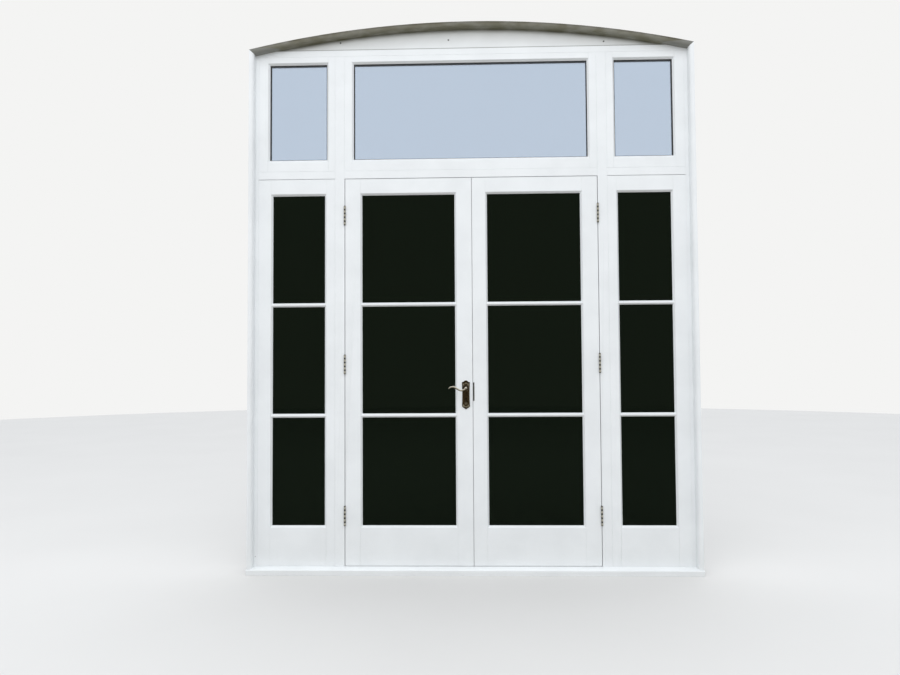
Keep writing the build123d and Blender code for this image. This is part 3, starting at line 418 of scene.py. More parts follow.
@dataclass(frozen=True)
class Brass(Finish):
    """Cast or rolled brass: bright on its high places and brown with tarnish in its hollows; where
    asked, its underside is darkened too, a painted shade for the dark ground it would mirror."""

    bright: str
    tarnish: str
    hollow_mm: float = 2.0
    hollow_from: float = 0.35
    hollow_full: float = 0.7
    cloud_mm: float = 14.0
    tarnished: float = 0.35
    smooth: float = 0.18
    rough: float = 0.42
    # How far the underside is darkened, as painted shade.
    under: float = 0.0
    scratch_mm: float = 0.9  # polishing marks, drawn as coarse as they need to show

    def make(self) -> bpy.types.Material:
        """Builds the finish's nodes.

        Returns:
            The material.
        """
        material, tree, place = self.new_tree()
        cloud = add_node(tree, "TexNoise", {"Vector": place, "Scale": per_metre(self.cloud_mm),
                                            "Detail": 5.0})
        worn = add_node(tree, "MapRange", {"Value": cloud.outputs["Fac"], "From Min": 0.35,
                                           "From Max": 0.7, "To Max": self.tarnished})
        hollow = add_node(tree, "AmbientOcclusion", {"Distance": self.hollow_mm * MM}, samples=6)
        deep = add_node(tree, "MapRange", {"Value": hollow.outputs["AO"], "To Max": 1.0,
                                           "From Min": 1.0 - self.hollow_from,
                                           "From Max": 1.0 - self.hollow_full})
        amount = add_node(tree, "Math", {0: worn.outputs[0], 1: deep.outputs[0]},
                          operation="ADD", use_clamp=True)
        # Painted shade: faces that look down are darkened towards the tarnish colour.
        if self.under:
            upward = add_node(tree, "SeparateXYZ", {0: place.node.outputs["Normal"]}).outputs["Z"]
            below = add_node(tree, "MapRange", {"Value": upward, "From Min": 0.3,
                                                "From Max": -0.2, "To Max": self.under})
            amount = add_node(tree, "Math", {0: amount.outputs[0], 1: below.outputs[0]},
                              operation="MAXIMUM")
        tone = add_node(tree, "Mix", {0: amount.outputs[0], 6: linear(self.bright),
                                      7: linear(self.tarnish)}, data_type="RGBA")
        gloss = add_node(tree, "MapRange", {"Value": amount.outputs[0], "To Min": self.smooth,
                                            "To Max": self.rough})
        scratch = add_node(tree, "TexNoise", {"Vector": place, "Scale": per_metre(self.scratch_mm),
                                              "Detail": 2.0})
        bump = add_node(tree, "Bump", {"Height": scratch.outputs["Fac"], "Strength": 0.12,
                                       "Distance": 0.05 * MM})
        shader = add_node(tree, "BsdfPrincipled", {
            "Base Color": tone.outputs[2], "Metallic": 1.0,
            "Roughness": gloss.outputs[0], "Normal": bump.outputs[0]})
        self.close(tree, shader)
        return material


@dataclass(frozen=True)
class TwoToned(Finish):
    """A surface whose tone and fine relief both follow one noise."""

    low: str
    high: str
    cell_mm: float
    detail: float
    relief: float
    relief_mm: float
    roughness: float
    metallic: float = 0.0
    stretch: tuple[float, float, float] = (1.0, 1.0, 1.0)

    def make(self) -> bpy.types.Material:
        """Builds the finish's nodes.

        Returns:
            The material.
        """
        material, tree, place = self.new_tree()
        along = add_node(tree, "Mapping", {"Vector": place, "Scale": self.stretch})
        cells = add_node(tree, "TexNoise", {"Vector": along.outputs[0], "Detail": self.detail,
                                            "Scale": per_metre(self.cell_mm)}).outputs["Fac"]
        tone = add_node(tree, "Mix", {0: cells, 6: linear(self.low), 7: linear(self.high)},
                        data_type="RGBA")
        bump = add_node(tree, "Bump", {"Height": cells, "Strength": self.relief,
                                       "Distance": self.relief_mm * MM})
        shader = add_node(tree, "BsdfPrincipled", {
            "Base Color": tone.outputs[2], "Metallic": self.metallic,
            "Roughness": self.roughness, "Normal": bump.outputs[0]})
        self.close(tree, shader)
        return material


@dataclass(frozen=True)
class BrushedSteel(TwoToned):
    """Bright zinc-plated steel, brushed along its length."""

    low: str = "6F706F"
    high: str = "9A9A98"
    cell_mm: float = 0.8  # brush lines, drawn as coarse as they need to show
    detail: float = 4.0
    relief: float = 0.2
    relief_mm: float = 0.05
    roughness: float = 0.35
    metallic: float = 1.0
    stretch: tuple[float, float, float] = Grain.UPRIGHT.value


@dataclass(frozen=True)
class Rubber(TwoToned):
    """Extruded EPDM: matt, near black, faintly pitted."""

    low: str = "232425"
    high: str = "3A3B3C"
    cell_mm: float = 0.7  # pits, drawn as coarse as they need to show
    detail: float = 2.0
    relief: float = 0.3
    relief_mm: float = 0.1
    roughness: float = 0.75


def seeing_rays(tree: bpy.types.NodeTree) -> bpy.types.NodeSocket:
    """Is 1 for the rays that see a surface and 0 for those that only light one.

    Args:
        tree: the tree that asks.

    Returns:
        The highest of the camera, glossy and transmission rays' outputs.
    """
    ray = add_node(tree, "LightPath")
    seen = ray.outputs["Is Camera Ray"]
    for kind in ("Is Glossy Ray", "Is Transmission Ray"):
        seen = add_node(tree, "Math", {0: seen, 1: ray.outputs[kind]},
                        operation="MAXIMUM").outputs[0]
    return seen


@dataclass(frozen=True)
class FloorPlaster(Finish):
    """Trowelled plaster: pale, matt and faintly clouded, and a little darker in the light that
    it throws back on the object."""

    seen: str = "D0CFCD"
    cloud: str = "D5D4D2"
    bounce: str = "BAB7B1"
    cloud_mm: float = 900.0

    def make(self) -> bpy.types.Material:
        """Builds the finish's nodes.

        Returns:
            The material.
        """
        material, tree, place = self.new_tree()
        cloud = add_node(tree, "TexNoise", {"Vector": place, "Scale": per_metre(self.cloud_mm),
                                            "Detail": 3.0})
        seen = add_node(tree, "Mix", {0: cloud.outputs["Fac"], 6: linear(self.seen),
                                      7: linear(self.cloud)}, data_type="RGBA")
        tone = add_node(tree, "Mix", {0: seeing_rays(tree), 6: linear(self.bounce),
                                      7: seen.outputs[2]}, data_type="RGBA")
        shader = add_node(tree, "BsdfPrincipled", {"Base Color": tone.outputs[2],
                                                   "Roughness": 0.9, "Specular IOR Level": 0.1})
        self.close(tree, shader)
        return material


def only(piece: bpy.types.Object) -> None:
    """Makes a piece the only one selected, in object mode.

    Args:
        piece: the object to select and make active.
    """
    if bpy.context.object and bpy.context.object.mode != "OBJECT":
        bpy.ops.object.mode_set(mode="OBJECT")
    bpy.ops.object.select_all(action="DESELECT")
    piece.select_set(True)
    bpy.context.view_layer.objects.active = piece


def settle(piece: bpy.types.Object) -> None:
    """Puts the piece's place, turn and scale into its mesh."""
    only(piece)
    bpy.ops.object.transform_apply(location=True, rotation=True, scale=True)


def apply_modifier(piece: bpy.types.Object, kind: str, **settings: object) -> None:
    """Adds one modifier and applies it.

    Args:
        piece: the mesh object.
        kind: the modifier's type.
        settings: its properties.
    """
    only(piece)
    modifier = piece.modifiers.new(kind.title(), kind)
    for name, value in settings.items():
        setattr(modifier, name, value)
    bpy.ops.object.modifier_apply(modifier=modifier.name)


def solid_copies(node: str) -> list[bpy.types.Object]:
    """Copies a CAD node as one clean object for each of its solids.

    A node's mesh is loose triangles, solid after solid, so a solid ends where each of its
    edges has met its twin.

    Args:
        node: the CAD node.

    Returns:
        One merged object for each solid, with its flats made whole.
    """
    mesh = bpy.data.objects[node].data
    corners = [tuple(round(value, 6) for value in vertex.co) for vertex in mesh.vertices]
    copies, faces, lone = [], [], set()
    for polygon in mesh.polygons:
        ring = [corners[i] for i in polygon.vertices]
        faces.append(ring)
        for edge in zip(ring, ring[1:] + ring[:1]):
            if edge[::-1] in lone:
                lone.discard(edge[::-1])
            else:
                lone.add(edge)
        if not lone:
            copies.append(object_from(faces, f"{node}_{len(copies)}"))
            faces = []
    return copies


def object_from(faces: Sequence[Sequence[tuple[float, float, float]]],
                name: str) -> bpy.types.Object:
    """One object of faces given by their corners, with equal corners shared.

    Args:
        faces: for each face, its corners in order.
        name: the object's name.

    Returns:
        The new object, its flats dissolved to whole faces.
    """
    index: dict[tuple[float, float, float], int] = {}
    rings = [[index.setdefault(corner, len(index)) for corner in ring] for ring in faces]
    rings = [ring for ring in rings if len(set(ring)) == len(ring)]
    mesh = bpy.data.meshes.new(name)
    mesh.from_pydata(list(index), [], rings)
    piece = bpy.data.objects.new(name, mesh)
    bpy.context.scene.collection.objects.link(piece)
    only(piece)
    bpy.ops.object.mode_set(mode="EDIT")
    bpy.ops.mesh.select_all(action="SELECT")
    bpy.ops.mesh.dissolve_limited(angle_limit=FLAT_ANGLE)
    bpy.ops.object.mode_set(mode="OBJECT")
    return piece


def ease(piece: bpy.types.Object, width_mm: float, segments: int = 2) -> None:
    """Rounds a piece's arrises, as sandpaper and paint do.

    Args:
        piece: the mesh object.
        width_mm: how far the rounding reaches from the arris.
        segments: the flats across it.
    """
    apply_modifier(piece, "BEVEL", width=width_mm * MM, segments=segments, limit_method="ANGLE",
                   angle_limit=ARRIS_ANGLE, miter_outer="MITER_ARC")
    only(piece)
    bpy.ops.object.shade_smooth_by_angle(angle=SMOOTH_ANGLE)
    apply_modifier(piece, "WEIGHTED_NORMAL", mode="FACE_AREA", weight=100, keep_sharp=True)


def join(pieces: Sequence[bpy.types.Object], name: str) -> bpy.types.Object:
    """Joins pieces into one and names it.

    Args:
        pieces: the mesh objects.
        name: the joined piece's name.

    Returns:
        The joined piece.
    """
    only(pieces[0])
    for piece in pieces[1:]:
        piece.select_set(True)
    if len(pieces) > 1:
        bpy.ops.object.join()
    joined = bpy.context.view_layer.objects.active
    joined.name = joined.data.name = name
    return joined


def dress(piece: bpy.types.Object, body: str,
          materials: Sequence[bpy.types.Material] = (), replaced: Iterable[str] = ()) -> None:
    """Gives a finished piece its finish and body, and hides the nodes it stands for.

    Args:
        piece: the finished mesh.
        body: the CAD body it rides on.
        materials: its materials, where the mesh doesn't have them yet.
        replaced: the CAD nodes it stands for.
    """
    for material in materials:
        piece.data.materials.append(material)
    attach(piece, body)
    nodes = list(replaced)
    if nodes:
        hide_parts(*nodes)
    LOG.info("%s: %d faces on %s", piece.name, len(piece.data.polygons), body)


def eased_copy(node: str, name: str, width_mm: float,
               materials: Sequence[bpy.types.Material]) -> bpy.types.Object:
    """An eased copy of a node, each of its solids grained along its own length.

    Args:
        node: the CAD node.
        name: the piece's name.
        width_mm: the width of its eased arrises.
        materials: the finish for upright pieces, and then the one for level pieces.

    Returns:
        The finished mesh, with its materials in place.
    """
    solids = solid_copies(node)
    for solid in solids:
        ease(solid, width_mm)
        for material in materials:
            solid.data.materials.append(material)
        wide, _, tall = solid.dimensions
        if wide > tall and len(materials) > 1:
            for polygon in solid.data.polygons:
                polygon.material_index = 1
    return join(solids, name)


@dataclass
class PhotoCamera:
    """The photograph's viewpoint, in front of the doors at chest height."""

    lens_mm: float = 28.0
    sensor_mm: float = 36.0
    place: tuple[float, float, float] = (-0.0127, -3.6314, 1.0734)
    turn: tuple[float, float, float] = (-0.0376, 0.0274, -0.0064)

    def build(self) -> None:
        """Adds the camera and makes it the scene's own."""
        data = bpy.data.cameras.new("photo_camera")
        data.lens = self.lens_mm
        data.sensor_width = self.sensor_mm
        camera = bpy.data.objects.new("photo_camera", data)
        bpy.context.scene.collection.objects.link(camera)
        turn = Vector(self.turn)
        looks = Matrix.Rotation(turn.length, 3, turn.normalized())
        upright = Matrix(((1, 0, 0), (0, 0, -1), (0, 1, 0)))
        right, down, forward = looks @ upright
        columns = Matrix((right, -down, -forward)).transposed()
        camera.matrix_world = Matrix.Translation(self.place) @ columns.to_4x4()
        bpy.context.scene.camera = camera


@dataclass
class Studio:
    """Plain soft studio: an overcast dome, one large soft lamp high in front and a pale floor."""

    dome_top: float = 1.65
    dome_level: float = 0.66
    dome_tone: str = "F2F5F9"
    backdrop: str = "F4F4F3"
    lamp_power: float = 130.0
    lamp_size: float = 5.0
    lamp_place: tuple[float, float, float] = (-0.4, -4.0, 6.0)
    lamp_aim: tuple[float, float, float] = (0.0, 0.0, 1.2)
    floor_radius: float = 14.0

    def build(self) -> None:
        """Sets the view, the dome, the lamp and the floor."""
        bpy.context.scene.view_settings.view_transform = "Standard"
        self.light_dome()
        self.hang_lamp()
        self.lay_floor()

    def light_dome(self) -> None:
        """A world brighter overhead, which camera, gloss and glass see as the pale backdrop."""
        world = bpy.data.worlds.new("overcast_dome")
        bpy.context.scene.world = world
        world.use_nodes = True
        tree = world.node_tree
        tree.nodes.clear()
        direction = add_node(tree, "TexCoord").outputs["Generated"]
        up = add_node(tree, "SeparateXYZ", {"Vector": direction}).outputs["Z"]
        strength = add_node(tree, "MapRange", {"Value": up, "To Min": self.dome_level,
                                               "To Max": self.dome_top})
        light = add_node(tree, "Background", {"Color": linear(self.dome_tone),
                                              "Strength": strength.outputs[0]})
        pale = add_node(tree, "Background", {"Color": linear(self.backdrop), "Strength": 1.0})
        mixed = add_node(tree, "MixShader", {0: seeing_rays(tree), 1: light.outputs[0],
                                             2: pale.outputs[0]})
        add_node(tree, "OutputWorld", {"Surface": mixed.outputs[0]})

    def hang_lamp(self) -> None:
        """One large soft lamp, high in front, which glass and metal don't mirror."""
        data = bpy.data.lights.new("soft_lamp", "AREA")
        data.shape = "SQUARE"
        data.size = self.lamp_size
        data.energy = self.lamp_power
        lamp = bpy.data.objects.new("soft_lamp", data)
        bpy.context.scene.collection.objects.link(lamp)
        lamp.visible_glossy = lamp.visible_transmission = False
        lamp.location = self.lamp_place
        aim = Vector(self.lamp_aim) - Vector(self.lamp_place)
        lamp.rotation_euler = aim.to_track_quat("-Z", "Y").to_euler()

    def lay_floor(self) -> None:
        """A pale plaster floor under the sill."""
        bpy.ops.object.select_all(action="DESELECT")
        bpy.ops.mesh.primitive_circle_add(vertices=96, radius=self.floor_radius, fill_type="NGON")
        floor = bpy.context.object
        floor.name = "floor"
        floor.data.materials.append(FloorPlaster("studio_floor").make())
        floor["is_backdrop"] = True


@dataclass
class Joinery:
    """All the painted timber: frame, sashes and leaves, with eased arrises."""

    arris_mm: float = 0.9
    fine_arris_mm: float = 0.45
    arch_rise_mm: float = 129.0
    horn_mm: float = 3.0

    def build(self, frame: dict) -> None:
        """Makes an eased copy of every painted timber node.
        """
        paint = [BrushedPaint("brushed_paint_upright", Grain.UPRIGHT).make(),
                 BrushedPaint("brushed_paint_level", Grain.LEVEL).make()]
        _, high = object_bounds()
        half, rise = high[0] - self.horn_mm * MM, self.arch_rise_mm * MM
        radius = (half * half + rise * rise) / (2 * rise)
        # The head's bead and board carry dirt and the brick arch's painted shade.
        weathered_and_shaded = [WeatheredAndShadedPaint("weathered_and_shaded_paint_" + grain.name.lower(), grain,
                                    arch_radius=radius, arch_centre_z=high[2] - radius,
                                    joint_z=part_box("arch_board")[0][2]).make()
                     for grain in Grain]
        sheltered = {"arch_bead", "arch_board"}
        fine = {"left_leaf_bars", "right_leaf_bars", "sidelight_bars", "left_leaf_beads",
                "right_leaf_beads", "fixed_light_beads"}
        for node, body in slot_nodes(frame, Slot.PAINT):
            piece = eased_copy(node, node + "_painted",
                               self.fine_arris_mm if node in fine else self.arris_mm,
                               weathered_and_shaded if node in sheltered else paint)
            dress(piece, body, replaced=[node])


@dataclass
class Glazing:
    """The sealed units: two sheets each, round a black warm-edge spacer; the sheets' colour is
    painted light, the dark room's shade or, in the toplights, the sky's reflection.
    """

    solids_per_unit: int = 3
    spacer_index: int = 1
    arris_mm: float = 0.3

    def build(self, frame: dict) -> None:
        """Dresses every glass node as its panes and its spacers.
        """
        # A low IOR keeps these panes dark in a pale studio, which they would else mirror; their
        # near-black colour is painted shade of the dark room behind.
        shaded = GlassWithPaintedLight("float_glass_with_painted_room_shade", ior=1.22, mirror="D9FFD2").make()
        # The toplights' pale blue is a painted reflection of the sky.
        pale = GlassWithPaintedLight("float_glass_with_painted_sky_reflection", painted_light_tone="DFE7F1", ior=1.4).make()
        spacer = Rubber("warm_edge_spacer", low="1B1C1D").make()
        for node, body in slot_nodes(frame, Slot.GLASS):
            solids = solid_copies(node)
            spacers = solids[self.spacer_index::self.solids_per_unit]
            panes = [solid for solid in solids if solid not in spacers]
            for solid in solids:
                ease(solid, self.arris_mm, segments=1)
            dress(join(panes, node + "_panes"), body,
                  [pale if node == "toplight_glass" else shaded], [node])
            dress(join(spacers, node + "_spacers"), body, [spacer], [node])


def lathe(name: str, profile_mm: Sequence[tuple[float, float]], steps: int = 32
          ) -> bpy.types.Object:
    """Turns a closed outline round the Z axis.

    Args:
        name: the piece's name.
        profile_mm: the outline's (radius, height) points in order, closed by itself.
        steps: the flats round the axis.

    Returns:
        The turned piece, its axis on Z.
    """
    bpy.ops.object.select_all(action="DESELECT")
    bpy.ops.mesh.primitive_circle_add(vertices=len(profile_mm), radius=MM, fill_type="NOTHING")
    piece = bpy.context.object
    piece.name = piece.data.name = name
    for vertex, (radius, height) in zip(piece.data.vertices, profile_mm):
        vertex.co = (radius * MM, 0.0, height * MM)
    bpy.ops.object.mode_set(mode="EDIT")
    bpy.ops.mesh.select_all(action="SELECT")
    bpy.ops.mesh.spin(steps=steps, angle=math.tau, center=(0, 0, 0), axis=(0, 0, 1))
    bpy.ops.mesh.select_all(action="SELECT")
    bpy.ops.mesh.remove_doubles(threshold=0.005 * MM)
    bpy.ops.mesh.normals_make_consistent(inside=False)
    bpy.ops.object.mode_set(mode="OBJECT")
    bpy.ops.object.shade_smooth_by_angle(angle=LATHE_ANGLE)
    return piece


def placed(piece: bpy.types.Object, place: Matrix) -> bpy.types.Object:
    """Moves a mesh by a matrix, in its own vertices, and keeps its faces outward.

    Args:
        piece: the mesh object.
        place: where its origin and axes go.

    Returns:
        The same piece.
    """
    piece.data.transform(place)
    if place.determinant() < 0:
        piece.data.flip_normals()
    return piece


def copy_mesh(piece: bpy.types.Object, name: str, place: Matrix) -> bpy.types.Object:
    """A copy of a piece with its own mesh, moved by a matrix.

    Args:
        piece: the piece to copy.
        name: the copy's name.
        place: how the copy is moved.

    Returns:
        The copy.
    """
    twin = bpy.data.objects.new(name, piece.data.copy())
    twin.data.name = name
    bpy.context.scene.collection.objects.link(twin)
    return placed(twin, place)


def facing(place: Sequence[float], outward: Sequence[float], turn: float = 0.0) -> Matrix:
    """The matrix that stands a piece's Z axis along a direction.

    Args:
        place: where the piece's origin goes.
        outward: the way its Z axis points.
        turn: its turn about that axis, in degrees.

    Returns:
        The matrix.
    """
    aim = Vector(outward).to_track_quat("Z", "Y").to_matrix().to_4x4()
    return Matrix.Translation(place) @ aim @ Matrix.Rotation(math.radians(turn), 4, "Z")


@dataclass
class SlottedScrew:
    """A countersunk slotted wood screw's head, its slot cut across."""

    radius_mm: float = 3.6
    proud_mm: float = 0.35
    depth_mm: float = 1.4
    slot_mm: float = 0.9
    slot_depth_mm: float = 0.9
    sides: int = 24
    arris_mm: float = 0.12

    def model(self) -> bpy.types.Object:
        """Models one head at the origin, its face on +Z.

        Returns:
            The head, to be copied and then deleted.
        """
        bpy.ops.object.select_all(action="DESELECT")
        depth = (self.depth_mm + self.proud_mm) * MM
        bpy.ops.mesh.primitive_cylinder_add(vertices=self.sides, radius=self.radius_mm * MM,
                                            depth=depth,
                                            location=(0, 0, self.proud_mm * MM - depth / 2))
        head = bpy.context.object
        head.name = "slotted_screw"
        settle(head)
        bpy.ops.object.mode_set(mode="EDIT")
        for side in (-1, 1):
            bpy.ops.mesh.select_all(action="SELECT")
            bpy.ops.mesh.bisect(plane_co=(0, side * self.slot_mm / 2 * MM, 0), plane_no=(0, 1, 0))
        bpy.ops.object.mode_set(mode="OBJECT")
        for element in (*head.data.vertices, *head.data.edges, *head.data.polygons):
            element.select = False
        for polygon in head.data.polygons:
            on_top = polygon.normal.z > 0.9
            polygon.select = on_top and abs(polygon.center.y) < self.slot_mm / 2 * MM
        bpy.ops.object.mode_set(mode="EDIT")
        bpy.ops.mesh.select_mode(type="FACE")
        bpy.ops.mesh.extrude_region_move(
            TRANSFORM_OT_translate={"value": (0, 0, -self.slot_depth_mm * MM)})
        bpy.ops.mesh.select_mode(type="VERT")
        bpy.ops.object.mode_set(mode="OBJECT")
        ease(head, self.arris_mm, segments=1)
        return head


def add_screws(places: Sequence[ScrewPlace], name: str,
               screw: SlottedScrew) -> bpy.types.Object:
    """Sets a row of screw heads and joins them.

    Args:
        places: for each head, its place on the plate's face and the way the face looks.
        name: the joined piece's name.
        screw: the screw they are.

    Returns:
        The joined heads.
    """
    head = screw.model()
    first_turn, next_turn = 11.0, 47.0  # each slot stops its own way, in degrees
    heads = [copy_mesh(head, f"{name}_{i}", facing(place, outward, first_turn + next_turn * i))
             for i, (place, outward) in enumerate(places)]
    bpy.data.objects.remove(head)
    return join(heads, name)


@dataclass
class ButtHinges:
    """Six brass butt hinges with round knuckles, domed pins and slotted screws."""

    height_mm: float = 102.0
    middle_mm: tuple[float, ...] = (292.5, 1074.0, 1854.0)
    knuckles: int = 5
    knuckle_mm: float = 5.0
    bore_mm: float = 2.55
    pin_mm: float = 2.5
    gap_mm: float = 0.3
    plate_mm: float = 2.5
    back_mm: float = 32.0
    axis_x_mm: float = 660.0
    axis_y_mm: float = -5.3
    plate_gap_mm: float = 0.6
    lap_mm: float = 1.0
    rounding_mm: float = 2.0
    rounding_turns: tuple[float, ...] = (0.0, 30.0, 60.0, 90.0)
    dirt_and_shade_mm: float = 3.9
    tip_mm: float = 0.9
    screw_z_mm: tuple[float, ...] = (-39.0, -15.0, 15.0, 39.0)
    screw_y_mm: tuple[float, ...] = (13.0, 24.0)
    screw_proud_mm: float = 0.12

    def build(self) -> None:
        """Builds the frame's and the leaf's halves on both sides, with their screws and pins."""
        brass = Brass("aged_hinge_brass", bright="BAB6A8", tarnish="2A251B", hollow_from=0.2,
                      tarnished=0.35, cloud_mm=9.0, smooth=0.26, rough=0.5).make()
        # Dark bands at the knuckles' ends: dirt and painted shade in the joints.
        dirty = Brass("dirt_and_painted_shade_in_hinge_joints", bright="27251F", tarnish="12100C", rough=0.6).make()
        middles = [z * MM for z in self.middle_mm]
        pins = []
        for side, way in SIDES:
            axis_x = way * self.axis_x_mm * MM
            for first, part, body in ((0, "frame", "frame"), (1, "leaf", side + "_leaf")):
                way_out = -way if first else way
                halves = [self.half(axis_x, way_out, z, first, (brass, dirty)) for z in middles]
                name = f"{side}_hinge_{part}_"
                dress(join(halves, name + "halves"), body,
                      replaced=[name + "plates"])
                dress(self.screws(axis_x, way_out, middles, name + "screws"), body,
                      [brass])
            pins += [self.pin(axis_x, z) for z in middles]
        dress(join(pins, "domed_hinge_pins"), "frame", [brass], ["hinge_pins"])

    def half(self, axis_x: float, way_out: int, z: float, first: int,
             materials: Sequence[bpy.types.Material]) -> bpy.types.Object:
        """One half of a hinge: its plate and its own knuckles.

        Args:
            axis_x: the hinge axis.
            way_out: the side of the axis its plate is on, -1 or 1.
            z: the hinge's middle height.
            first: its lowest knuckle, 0 for the frame's half and 1 for the leaf's.
            materials: the brass, and then the dirt and painted shade at the knuckles' ends.

        Returns:
            The half, in place.
        """
        pitch = self.height_mm * MM / self.knuckles
        gap = self.gap_mm / 2 * MM
        inner = axis_x + way_out * self.plate_gap_mm / 2 * MM
        outer = inner + way_out * self.plate_mm * MM
        axis_y = self.axis_y_mm * MM
        clear = axis_y + (self.knuckle_mm + self.gap_mm) * MM
        bottom = z - self.height_mm / 2 * MM
        pieces = [slab((inner, clear, bottom),
                       (outer, self.back_mm * MM, bottom + self.height_mm * MM))]
        for i in range(first, self.knuckles, 2):
            z0 = bottom + i * pitch + gap * (i > 0)
            z1 = bottom + (i + 1) * pitch - gap * (i < self.knuckles - 1)
            pieces.append(slab((inner, axis_y + self.pin_mm * MM, z0),
                               (outer, clear + self.lap_mm * MM, z1)))
            tube = lathe("knuckle", self.knuckle_outline((z1 - z0) / MM))
            # Faces near a knuckle's ends take the dark band of dirt and painted shade.
            for polygon in tube.data.polygons:
                height = polygon.center.z
                polygon.material_index = int(min(height, z1 - z0 - height) < self.dirt_and_shade_mm * MM)
            pieces.append(placed(tube, Matrix.Translation((axis_x, axis_y, z0))))
        for piece in pieces:
            for material in materials:
                piece.data.materials.append(material)
        return join(pieces, "hinge_half")

    def knuckle_outline(self, tall: float) -> list[tuple[float, float]]:
        """Half of one knuckle's section, with its ends rounded.

        Args:
            tall: the knuckle's height in millimetres.

        Returns:
            The outline's (radius, height) points in order.
        """
        turns = [math.radians(turn) for turn in self.rounding_turns]
        end = [(self.bore_mm, 0.0)]
        end += [(self.knuckle_mm - self.rounding_mm * (1 - math.sin(turn)),
                 self.rounding_mm * (1 - math.cos(turn))) for turn in turns]
        end.append((self.knuckle_mm, self.dirt_and_shade_mm))
        return end + [(radius, tall - height) for radius, height in reversed(end)]

    def pin(self, axis_x: float, z: float) -> bpy.types.Object:
        """One pin with a low dome at each end.

        Args:
            axis_x: the hinge axis.
            z: the hinge's middle height.

        Returns:
            The pin, in place.
        """
        half = self.height_mm / 2
        dome = [(0, -half - self.tip_mm), (self.pin_mm * 0.6, -half - self.tip_mm * 0.75),
                (self.pin_mm, -half)]
        profile = dome + [(radius, -height) for radius, height in reversed(dome)]
        pin = lathe("pin", profile, steps=24)
        return placed(pin, Matrix.Translation((axis_x, self.axis_y_mm * MM, z)))

    def screws(self, axis_x: float, way_out: int, middles: Sequence[float], name: str
               ) -> bpy.types.Object:
        """The screws of one side's halves, staggered down each plate.

        Args:
            axis_x: the hinge axis.
            way_out: the side of the axis the plates are on.
            middles: the hinges' middle heights.
            name: the joined piece's name.

        Returns:
            The joined heads.
        """
        x = axis_x + way_out * self.plate_gap_mm / 2 * MM
        places = [((x, self.screw_y_mm[i % 2] * MM, z + dz * MM), (-way_out, 0, 0))
                  for z in middles for i, dz in enumerate(self.screw_z_mm)]
        return add_screws(places, name, SlottedScrew(proud_mm=self.screw_proud_mm))


def slab(corner: Sequence[float], opposite: Sequence[float], arris_mm: float = 0.35
         ) -> bpy.types.Object:
    """A flat plate between two corners with eased arrises.

    Args:
        corner: one corner in metres.
        opposite: the corner across the plate.
        arris_mm: the width of its eased arrises.

    Returns:
        The plate.
    """
    middle = [(a + b) / 2 for a, b in zip(corner, opposite)]
    bpy.ops.object.select_all(action="DESELECT")
    bpy.ops.mesh.primitive_cube_add(size=1.0, location=middle)
    plate = bpy.context.object
    plate.scale = [abs(a - b) for a, b in zip(corner, opposite)]
    settle(plate)
    ease(plate, arris_mm)
    return plate


